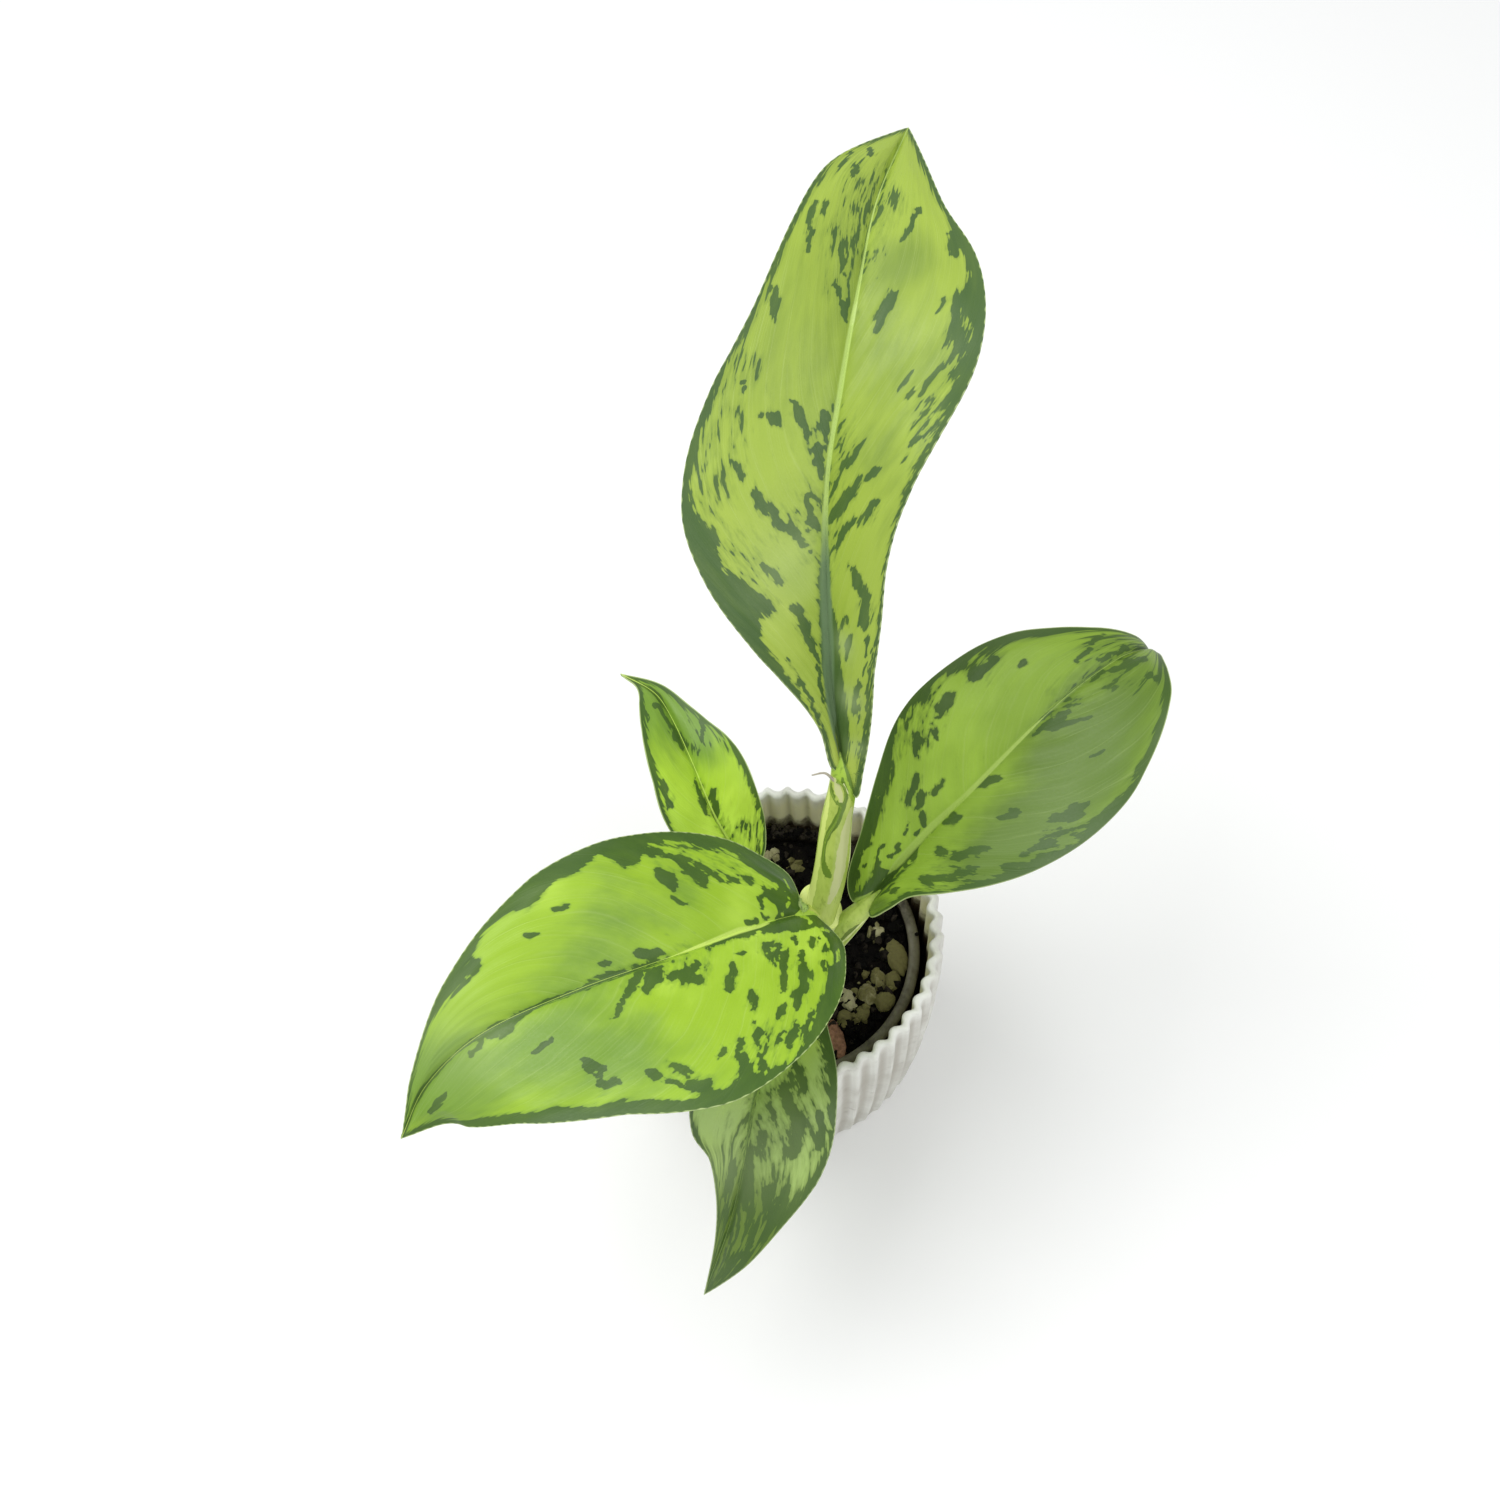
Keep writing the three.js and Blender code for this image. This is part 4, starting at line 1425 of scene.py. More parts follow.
@dataclass
class Leaf:
    """A leaf that grows as one piece: a waved, folded blade on its stalk."""

    shape: LeafShape
    finish: LeafFinish
    markings: Markings
    stalk_finish: StalkFinish
    thickness: float = 0.5
    crease: float = 60
    rib_pace: float = 1.25
    vein_lean: tuple[Pair, ...] = (
        (0, 0.17), (0.35, 0.18), (0.5, 0.25), (0.65, 0.38), (0.8, 0.46), (1, 0.5))
    vein_depth: float = 0.05
    unevenness: float = 0.22
    groove: Pair = (0.32, 0.9)
    tooth_pitch: float = 6.5
    tooth_height: float = 0.45
    teeth_end: float = 0.92
    below: tuple[Band, ...] = ((8, 1.5, 1.4), (20, 1.1, 0.9), (34, 0.7, 0.3))

    def outline(self, points: Sequence[Pair], t: np.ndarray) -> np.ndarray:
        """Follow one of the blade's flat outlines.

        Args:
            points: The outline.
            t: Shares of its length.

        Returns:
            The (along, across) at each share.
        """
        flat = np.array(points, float)
        steps = np.linalg.norm(np.diff(flat, axis=0), axis=1)
        knots = np.concatenate([[0], np.cumsum(steps)])
        return cubic(knots, flat, t * knots[-1])

    def flat_grid(self, t: np.ndarray, c: np.ndarray) -> tuple[np.ndarray, np.ndarray]:
        """Lay a grid over the flat blade.

        Args:
            t: Rows, from 0 to 1.
            c: Columns, from -1 to 1.

        Returns:
            The distances along and across the rib.
        """
        edge = np.where((c < 0)[:, None], self.outline(self.shape.left, t),
                        self.outline(self.shape.right, t))
        foot = self.rib.length * t**self.rib_pace
        part = np.abs(c)
        return foot + (edge[:, 0] - foot) * part, np.sign(c) * edge[:, 1] * part

    def bent(self, s: np.ndarray, w: np.ndarray) -> np.ndarray:
        """Fold and ripple the flat blade.

        Args:
            s, w: Distances along and across the rib.

        Returns:
            Where the places lie in space.
        """
        shape = self.shape
        side, up = self.rib.frames(s, UP)
        half = max(p[1] for p in (*shape.left, *shape.right))
        share = s / self.rib.length
        fold = np.radians(np.where(w > 0, spread(shape.fold_right, share),
                                   spread(shape.fold_left, share)))
        height, count = shape.ripple
        phase = 2 * math.pi * count * share + np.where(w > 0, 0, 1.7)
        lift = height * np.sin(phase) * (w / half) ** 2 + np.abs(w) * np.sin(fold)
        return self.rib.at(s) + side * (w * np.cos(fold))[:, None] + up * lift[:, None]

    def build(self, groups: SharedGroups) -> None:
        """Build and finish the leaf's blade and stalk.

        Args:
            groups: The shared node groups.
        """
        self.rib = SmoothPath(self.shape.rib)
        self.build_blade(groups)
        self.build_stalk()

    def build_blade(self, groups: SharedGroups) -> None:
        """Shape a grid into the blade, thicken it over its rib and finish its faces.

        Args:
            groups: The shared node groups.
        """
        shape = self.shape
        bpy.ops.mesh.primitive_grid_add(
            x_subdivisions=shape.rows, y_subdivisions=shape.columns, size=2)
        piece = added(f"{shape.name}_blade")
        start = points_of(piece)
        t, c = (start[:, 0] + 1) / 2, start[:, 1]
        s, w = self.flat_grid(t, c)
        places = self.bent(s, w)
        reach = 0.4
        out = np.where(w < 0, -1.0, 1.0)
        across = (self.bent(s, w + out * reach) - places) * out[:, None]
        along = self.bent(s + reach, w) - self.bent(s - reach, w)
        normal = np.cross(across, along)
        normal /= np.linalg.norm(normal, axis=1, keepdims=True)
        edge = self.edge_distance(s, w)
        flow, vein = self.vein_coordinates(s, w)
        places += normal * self.relief(s, w, np.abs(c), edge, vein)[:, None]
        move_points(piece, places * MM)
        deep = self.depth(s, w, edge)
        weigh(piece, "depth", deep / deep.max())
        seed = 10.0 * (sum(map(ord, shape.name)) % 17)
        seeds = seed + np.where(w < 0, 7.0, 0.0)
        mark(piece, "plan", np.stack([flow, 0.55 * s + 0.8 * np.abs(w), seeds], axis=1))
        mark(piece, "vein", vein)
        mark(piece, "edge", edge)
        mark(piece, "bias", self.markings.bias(s, w, edge))
        # Regional tone, partly painted light and shade.
        mark(piece, "tone", patched(self.markings.tones, s, w))
        mark(piece, "sheen", patched(self.markings.sheens, s, w))
        mark(piece, "along", s)
        width = profile(self.markings.rib_line, s)
        middle = profile(self.markings.rib_shift, s)
        mark(piece, "rib_share", np.abs(w - middle) / np.maximum(width, 0.05))
        tidy(piece, outward=False)
        with editing(piece):
            bpy.ops.mesh.select_all(action="SELECT")
            bpy.ops.mesh.flip_normals()
        for face in Face:
            name = f"{shape.name}_{face.value}"
            piece.data.materials.append(self.finish.material(name, face, groups))
        modify(piece, "SOLIDIFY", thickness=float(deep.max()) * MM, offset=-1,
               vertex_group="depth", thickness_vertex_group=0, material_offset=1,
               material_offset_rim=0, use_quality_normals=True)
        soften(piece, self.crease)
        settle(piece, None, shape.name, shape.name)

    def half_widths(self, s: np.ndarray, w: np.ndarray) -> np.ndarray:
        """Measure the blade across.

        Args:
            s, w: Distances along and across the rib.

        Returns:
            Its half width beside each place, on the place's own side.
        """
        t = np.linspace(0, 1, 200)
        widths = []
        for outline in (self.shape.left, self.shape.right):
            rim = self.outline(outline, t)
            order = np.argsort(rim[:, 0])
            widths.append(np.interp(s, rim[order, 0], rim[order, 1]))
        return np.maximum(np.where(w < 0, *widths), 1.5)

    def vein_coordinates(self, s: np.ndarray, w: np.ndarray) -> tuple[np.ndarray, np.ndarray]:
        """Follow the side veins, which bend towards the tip as they near the margin.

        Args:
            s: Distance along the rib.
            w: Distance across it.

        Returns:
            A number that is the same all along a vein and grows evenly across the veins, and
            the place on the rib where that vein starts.
        """
        length = self.rib.length
        steps = np.linspace(-0.15 * length, 1.1 * length, 400)
        lean = length * profile(self.vein_lean, steps / length)
        passed = np.cumsum(np.gradient(steps) / lean)
        out = np.clip(np.abs(w) / self.half_widths(s, w), 0, 1.1)
        flow = np.interp(s, steps, passed) - out - 0.7 * out**2
        return flow * lean[0], np.interp(flow, passed, steps)

    def relief(self, s: np.ndarray, w: np.ndarray, part: np.ndarray, edge: np.ndarray,
               vein: np.ndarray) -> np.ndarray:
        """Find how far the upper face stands off the plain folded blade.

        Args:
            s, w: Distances along and across the rib.
            part: Shares of the way out.
            edge: Distances from the margin.
            vein: Where each place's vein starts.

        Returns:
            The heights.
        """
        inner = np.clip(edge / 4, 0, 1)
        belly = self.shape.bulge * np.sin(math.pi * np.clip(part, 0, 1)) * inner
        turns = (vein + 0.9 * np.sin(s / 9)) / VEIN_PITCH
        veins = -self.vein_depth * np.cos(2 * math.pi * turns)
        uneven = self.unevenness * waves(s, w, 24, len(self.shape.name))
        deep, half = self.groove
        groove = -deep * np.exp(-((w / half) ** 2))
        return belly + (veins + uneven) * inner * np.clip(np.abs(w) / 3, 0, 1) + groove

    def depth(self, s: np.ndarray, w: np.ndarray, edge: np.ndarray) -> np.ndarray:
        """Find the blade's thickness, with the rib's keel and small teeth below.

        Args:
            s, w: Distances along and across the rib.
            edge: Distances from the margin.

        Returns:
            The thicknesses.
        """
        share = np.clip(s / self.rib.length, 0, 1)
        keel = self.shape.keel * (1 - share**1.5)
        broad = 0.7 + 1.5 * (1 - share)
        tooth = np.maximum(0, np.cos(2 * math.pi * s / self.tooth_pitch)) ** 6
        tooth = self.tooth_height * tooth * (share < self.teeth_end)
        body = self.thickness * (0.5 + 0.5 * np.clip(edge / 1.5, 0, 1))
        return body + keel * np.exp(-((w / broad) ** 2)) + tooth * np.exp(-((w / 0.6) ** 2))

    def edge_distance(self, s: np.ndarray, w: np.ndarray) -> np.ndarray:
        """Measure from flat places to the blade's margin.

        Args:
            s, w: Distances along and across the rib.

        Returns:
            The distances.
        """
        t = np.linspace(0, 1, 260)
        left, right = self.outline(self.shape.left, t), self.outline(self.shape.right, t)
        rim = np.concatenate([left * (1, -1), right])
        nearest = np.full(len(s), np.inf)
        for x, y in rim:
            nearest = np.minimum(nearest, np.hypot(s - x, w - y))
        return nearest

    def stalk_path(self) -> tuple[SmoothPath, list[float]]:
        """Lead the stalk's line on below the blade.

        Returns:
            The line, and its radii.
        """
        shape = self.shape
        below = []
        for s, sunk, _ in self.below:
            _, up = self.rib.frames(np.array([s]), UP)
            below.append(tuple((self.rib.at(s) - up * shape.keel * sunk)[0]))
        top = tuple(np.array(shape.stalk[-1]) - UP)
        radii = [*shape.stalk_radii, *(radius for _, _, radius in self.below)]
        return SmoothPath((*shape.stalk[:-1], top, *below)), radii

    def build_stalk(self) -> None:
        """Build the stalk with its faint ribs, running on into the blade's rib."""
        path, radii = self.stalk_path()

        def radius(share: np.ndarray, angle: np.ndarray) -> np.ndarray:
            """Return the stalk's radius, with its faint ribs."""
            ribs = 1 + 0.012 * np.sin(11 * angle + 5 * share) + 0.02 * np.sin(3 * angle)
            return path.spread(radii, share) * ribs

        piece = tube(f"{self.shape.name}_stalk", path, radius, *self.shape.stalk_mesh)
        whole = SmoothPath(self.shape.stalk).length
        share, angle = marked(piece, "share") * path.length / whole, marked(piece, "angle")
        for paint in Paint:
            covers = [band.cover(share, angle, self.shape.stalk_radii[1])
                      for band in self.shape.bands if band.paint is paint]
            mark(piece, paint.value, np.max(covers or [np.zeros(len(share))], axis=0))
        finish = self.stalk_finish.material(piece.name)
        settle(piece, finish, self.shape.name, self.shape.name)


@dataclass(frozen=True)
class Roll:
    """A thin rolled edge of a sheath, through (share along, degrees round) spots of a stalk."""

    name: str
    stalk: LeafShape
    spots: tuple[Pair, ...]
    thick: float
    finish: StalkFinish
    mesh: tuple[int, int] = (60, 12)

    def path(self) -> SmoothPath:
        """Lay the edge's line just over the stalk's skin.

        Returns:
            The line.
        """
        path = SmoothPath(self.stalk.stalk)
        share, angle = (np.array(part) for part in zip(*self.spots))
        out = spread(self.stalk.stalk_radii, share) + 0.1 * self.thick
        places = path.around(share * path.length, np.radians(angle), out)
        return SmoothPath([tuple(p) for p in places])

    def build(self) -> None:
        """Lay the edge along the stalk, half sunk in its skin."""
        def radius(share: np.ndarray, angle: np.ndarray) -> np.ndarray:
            """Return the edge's radius, thinner at its ends."""
            middle = np.sin(math.pi * np.clip(0.08 + 0.84 * share, 0, 1)) ** 0.6
            return self.thick * (0.35 + 0.65 * middle) * (1 + 0.12 * np.sin(23 * share))

        piece = tube(self.name, self.path(), radius, *self.mesh)
        settle(piece, self.finish.material(self.name), self.stalk.name)


@dataclass
class Sheaths:
    """The sheaths' rolled edges, the collar round the top stalk's foot and the dry tip."""

    collar_path: tuple[Point, ...] = ((8.4, -8.2, 83), (9.4, -7.9, 91), (10.6, -6.8, 97.5))
    collar_radius: float = 4.5
    collar_flare: float = 0.7
    collar_dip: float = 4.2
    collar_lean: float = 1.4
    collar_mesh: tuple[int, int] = (36, 96)
    thread: tuple[Point, ...] = ((15.8, 3.6, 142.6), (13.8, 4.6, 144.8), (10.8, 4.8, 144.2))
    thread_mesh: tuple[int, int] = (24, 12)
    olive: StalkFinish = StalkFinish(
        pale=srgb(118, 146, 48), green=srgb(92, 122, 38), spot=srgb(176, 200, 84))
    pale: StalkFinish = StalkFinish(
        pale=srgb(212, 220, 156), green=srgb(186, 200, 116), spot=srgb(150, 150, 92), streak=0.3)
    dry: StalkFinish = StalkFinish(
        pale=srgb(168, 160, 142), green=srgb(140, 130, 112), spot=srgb(104, 96, 84))

    def rolls(self) -> list[Roll]:
        """List the rolled edges on the top and the right stalk.

        Returns:
            The edges.
        """
        return [
            Roll("sheath_fold", LEAF_TOP, (
                (0.965, 156), (0.93, 147), (0.89, 120), (0.86, 92), (0.83, 93), (0.79, 99),
                (0.75, 108), (0.71, 120), (0.65, 132), (0.58, 135), (0.5, 134)), 0.34, self.olive),
            Roll("sheath_inner_fold", LEAF_TOP, (
                (0.99, 128), (0.985, 99), (0.945, 81), (0.9, 78), (0.87, 86)), 0.3, self.olive),
            Roll("sheath_seam", LEAF_TOP, (
                (0.99, 93), (0.93, 66), (0.87, 48), (0.75, 24), (0.67, 14), (0.46, 14),
                (0.2, 30)), 0.22, self.pale),
            Roll("sheath_right_fold", LEAF_RIGHT, (
                (0.3, 120), (0.5, 104), (0.7, 88), (0.88, 70), (0.97, 40)), 0.34, self.pale),
        ]

    def build(self) -> None:
        """Build the edges, the collar and the dry tip."""
        for roll in self.rolls():
            roll.build()
        piece = tube("sheath_thread", SmoothPath(self.thread),
                     lambda share, angle: 0.38 - 0.22 * share, *self.thread_mesh)
        settle(piece, self.dry.material("dry_sheath"), LEAF_TOP.name)
        self.build_collar()

    def build_collar(self) -> None:
        """Build the older sheath's mouth, which flares round the top stalk's foot."""
        def radius(share: np.ndarray, angle: np.ndarray) -> np.ndarray:
            """Return the collar's radius, wider at its mouth."""
            flare = self.collar_flare * share**2 * (1 + 0.35 * np.sin(2 * angle + 1))
            return self.collar_radius + flare - 0.7 * (share > 0.99)

        path = SmoothPath(self.collar_path)
        piece = tube("sheath_collar", path, radius, *self.collar_mesh)
        share, angle = marked(piece, "share"), np.radians(marked(piece, "angle"))
        places = points_of(piece) / MM
        slant = -np.sin(angle) * self.collar_dip - np.cos(angle) * self.collar_lean
        places[:, 2] += share**2 * slant
        move_points(piece, places * MM)
        mark(piece, Paint.CREAM.value, np.clip((share - 0.8) * 5, 0, 1))
        # Painted shade: a dark band just below the collar's mouth, under its lip.
        mark(piece, Paint.DARK.value, 0.5 * np.clip(1 - np.abs(share - 0.7) * 8, 0, 1))
        settle(piece, self.pale.material("sheath_collar"), LEAF_TOP.name)


@dataclass
class Studio:
    """The pale floor, the soft light and the camera."""

    focal_px: float = 1700
    picture_px: float = 1500
    sensor: float = 36
    elevation: float = 60.5
    roll: float = 6.5
    place: Point = (-2.5, -179.3, 484.4)
    sky: Colour = (0.97, 0.985, 1)
    sky_strength: float = 0.62
    lamps: tuple[tuple[str, Point, float, float], ...] = (
        ("window", (-0.42, 0.2, 1.0), 0.8, 7.5), ("fill", (0.5, -0.55, 0.95), 0.8, 4))
    aim: Point = (0, 0, 0.12)

    def build(self) -> None:
        """Set up the stage."""
        self.floor()
        self.lights()
        self.camera()

    def floor(self) -> None:
        """Lay the floor."""
        bpy.ops.mesh.primitive_plane_add(size=6)
        floor = added("studio_floor")
        material, nodes = new_material("studio_floor")
        nodes.surface({"Base Color": (0.9, 0.9, 0.89, 1), "Roughness": 0.9})
        floor.data.materials.append(material)

    def lights(self) -> None:
        """Light the scene from a pale world and one large window above."""
        world = bpy.data.worlds.new("studio_world")
        world.use_nodes = True
        background = world.node_tree.nodes["Background"]
        background.inputs["Color"].default_value = (*self.sky, 1)
        background.inputs["Strength"].default_value = self.sky_strength
        bpy.context.scene.world = world
        for name, place, size, power in self.lamps:
            bpy.ops.object.light_add(type="AREA", location=place)
            lamp = bpy.context.object
            lamp.name = lamp.data.name = name
            lamp.data.size = size
            lamp.data.energy = power
            aim = Vector(self.aim) - Vector(place)
            lamp.rotation_euler = aim.to_track_quat("-Z", "Y").to_euler()

    def camera(self) -> None:
        """Place the camera at the photograph's angle and distance."""
        bpy.ops.object.camera_add()
        camera = bpy.context.object
        camera.name = "camera"
        camera.data.sensor_width = self.sensor
        camera.data.lens = self.focal_px / self.picture_px * self.sensor
        tilt, turn = math.radians(self.elevation), math.radians(self.roll)
        back = Vector((0, -math.cos(tilt), math.sin(tilt)))
        level = Vector((1, 0, 0))
        upright = level.cross(-back)
        right = math.cos(turn) * level - math.sin(turn) * upright
        up = right.cross(-back)
        axes = Matrix((right, up, back)).transposed()
        camera.matrix_world = Matrix.Translation(Vector(self.place) * MM) @ axes.to_4x4()
        bpy.context.scene.camera = camera


LEAF_TOP = LeafShape(
    name="leaf_top",
    stalk=((9.7, -7.8, 92), (13.5, -4, 111), (15.7, 0.4, 129), (18, 5, 143)),
    stalk_radii=(4, 4.1, 3.6, 2.9), stalk_mesh=(101, 132),
    rib=((18, 5, 143), (17, 20, 167), (20, 46, 194), (26, 66, 206), (32, 85, 213),
         (39, 108, 215), (50, 134, 212)),
    left=((0, 0), (3, 3), (13, 4.4), (22, 8.5), (34, 17.5), (48, 26.5), (62, 31), (82, 27.7),
          (101, 21.5), (121, 17.5), (138, 13.4), (151, 7.4), (164, 0)),
    right=((0, 0), (-6, 2.8), (2, 5.6), (19, 10.7), (39, 16.5), (52, 18.7), (63, 22.2),
           (76, 28.3), (90, 30.7), (104, 29.7), (119, 24.5), (134, 16.3), (148, 9), (164, 0)),
    fold_left=(30, 22, 12, 20, 25, 20), fold_right=(40, 48, 42, 20, 5, 10),
    ripple=(0.8, 3), keel=1.8, bulge=1.0, rows=190, columns=72,
    bands=(
        SkinBand(Paint.CREAM, (
            (0, 165, 1.6), (0.18, 165, 1.5), (0.3, 162, 1.4), (0.41, 165, 1.2), (0.56, 156, 1.0),
            (0.69, 153, 0.9), (0.81, 156, 1.0), (0.89, 162, 0.8), (0.94, 170, 0.4))),
        SkinBand(Paint.BEIGE, (
            (0.22, 86, 0.5), (0.31, 78, 1.1), (0.4, 72, 1.4), (0.49, 66, 1.5), (0.59, 63, 1.6),
            (0.71, 54, 1.6), (0.81, 48, 1.0), (0.85, 44, 0.5))),
        SkinBand(Paint.BEIGE, (
            (0.88, 98, 0.3), (0.9, 101, 0.7), (0.93, 111, 1.3), (0.97, 126, 1.1), (1, 148, 0.5))),
        SkinBand(Paint.LEAFY, (
            (0.86, 24, 0.6), (0.9, 36, 1.6), (0.95, 52, 2.6), (0.99, 76, 3.6), (1.04, 90, 9),
            (3, 90, 9))),
        SkinBand(Paint.DARK, (
            (0.88, 22, 0.3), (0.94, 44, 0.8), (0.99, 60, 1.2), (1.1, 66, 1.7), (3, 66, 1.7)), 0.5),
        SkinBand(Paint.DARK, (
            (0.41, 105, 0.7), (0.44, 112, 1.2), (0.47, 120, 1.1), (0.52, 134, 0.6),
            (0.58, 135, 0.55), (0.65, 132, 0.6), (0.71, 120, 0.8), (0.75, 108, 1.2),
            (0.79, 99, 1.15), (0.83, 93, 0.9), (0.86, 90, 1.1), (0.89, 120, 0.8)), 0.5),
        SkinBand(Paint.DARK, ((0.89, 120, 0.8), (0.93, 147, 0.5), (0.965, 156, 0.4)), 0.5),
        SkinBand(Paint.DARK, (
            (0.86, 87, 0.7), (0.9, 78, 0.7), (0.945, 81, 0.6), (0.99, 99, 0.4),
            (1, 140, 0.3)), 0.5)))

LEAF_RIGHT = LeafShape(
    name="leaf_right",
    stalk=((7, -9, 63), (12, -9.6, 80), (17.2, -9.6, 92), (21.4, -9, 100)),
    stalk_radii=(3.4, 3.5, 3.1, 2.3), stalk_mesh=(101, 108),
    rib=((22, -9, 100), (34, -4, 118), (50, 4, 134), (70, 16, 146), (84, 24, 148),
         (92, 29, 143), (96, 32, 136)),
    left=((0, 0), (-2, 3.5), (3, 8), (17, 12.9), (30, 18.7), (42, 23.6), (52, 25),
          (65, 23.4), (74, 19.8), (82, 14.2), (91, 8), (99, 4), (108, 0)),
    right=((0, 0), (0, 4), (7, 6.8), (15, 9.1), (24, 15.4), (34, 21.8), (44, 26.4),
           (55, 28.8), (66, 28.1), (76, 25), (84, 20.9), (91, 15.4), (96, 9.6), (101, 4.5),
           (108, 0)),
    fold_left=(35, 25, 15, 12, 25), fold_right=(25, 15, 5, 0, 22),
    ripple=(0.7, 2.5), keel=1.5, bulge=0.9, rows=130, columns=64,
    bands=(
        SkinBand(Paint.CREAM, ((0, 50, 1.4), (0.5, 40, 1.6), (0.9, 30, 1.4))),
        SkinBand(Paint.DARK, ((0.35, 108, 0.3), (0.6, 100, 0.7), (0.8, 92, 1.1), (0.88, 86, 0.5))),
        SkinBand(Paint.LEAFY, ((1.08, 90, 2), (1.2, 90, 9), (3, 90, 9)))))

LEAF_LEFT = LeafShape(
    name="leaf_left",
    stalk=((2.5, -9.5, 72), (4.6, -10.6, 84), (7.6, -10.2, 95), (8, -9, 100)),
    stalk_radii=(3, 3.1, 2.7, 2.2),
    rib=((8, -9, 100), (-6, -16, 111), (-27, -26, 121), (-48, -33, 125),
         (-70, -40, 123), (-84, -48, 116), (-92, -57, 107)),
    left=((0, 0), (-0.5, 3.5), (-0.8, 7.5), (0, 12.5), (4, 17.7), (11.5, 25), (20, 31),
          (32, 35.8), (45, 38.4), (54, 36.4), (68, 31), (88, 24.4), (104, 16.8), (115, 7.2),
          (123, 0)),
    right=((0, 0), (3.4, 1.8), (2.4, 4.8), (4, 10.4), (12, 16.6), (21, 22.8), (32, 27.6),
           (43, 29.8), (54, 30), (67, 27.5), (79, 22.3), (91, 14.5), (102, 7.4), (113, 2.4),
           (123, 0)),
    fold_left=(10, 0, -5), fold_right=(25, 25, 15),
    ripple=(0.7, 2.5), keel=1.6, bulge=1.2, rows=160, columns=84,
    bands=(SkinBand(Paint.LEAFY, ((0.97, 90, 3), (1.1, 90, 9), (3, 90, 9))),))

LEAF_BACK = LeafShape(
    name="leaf_back",
    stalk=((0.6, -5, 59), (-1.6, 0.5, 69), (-4, 5, 79), (-6, 9, 88)),
    stalk_radii=(2.5, 2.5, 2.2, 1.8),
    rib=((-6, 9, 88), (-13, 18, 103), (-17, 29, 111), (-21, 41, 114), (-25, 50, 114),
         (-34, 60, 110)),
    left=((0, 0), (3, 4), (9, 9), (17, 12.9), (25, 14.1), (34, 12.6), (45, 9.8),
          (54, 6.2), (62, 1.8), (70, 0)),
    right=((0, 0), (2, 5), (8, 9), (17, 11.9), (28, 13), (36, 11.2), (43, 7.6), (53, 3.8),
           (62, 1.6), (70, 0)),
    fold_left=(30, 25, 20), fold_right=(25, 20, 15),
    ripple=(0.5, 2), keel=1.2, bulge=0.6, rows=84, columns=36)

LEAF_FRONT = LeafShape(
    name="leaf_front",
    stalk=((1.5, -11.5, 58.5), (0.6, -16, 68), (-0.4, -20, 76), (-1, -23.5, 81)),
    stalk_radii=(2.4, 2.4, 2.1, 1.8),
    rib=((-1, -23.5, 81), (-4, -32, 88), (-8, -44, 92), (-12, -55, 91), (-15, -65, 86),
         (-20, -76, 74), (-29, -88, 55)),
    left=((0, 0), (2, 6), (8, 11.5), (15, 14.6), (25, 18.6), (35, 20.7), (43, 20.2),
          (51, 17.2), (63, 11.5), (75, 7), (84, 3), (90, 0)),
    right=((0, 0), (2, 6), (9, 11.8), (19, 15.6), (32, 17), (42, 14.4), (48, 8.8),
           (57, 5.4), (70, 2.6), (80, 1.1), (90, 0)),
    fold_left=(10, 10, 5, 0), fold_right=(20, 32, 26, 10),
    ripple=(0.5, 2), keel=1.2, bulge=0.8, rows=104, columns=48)


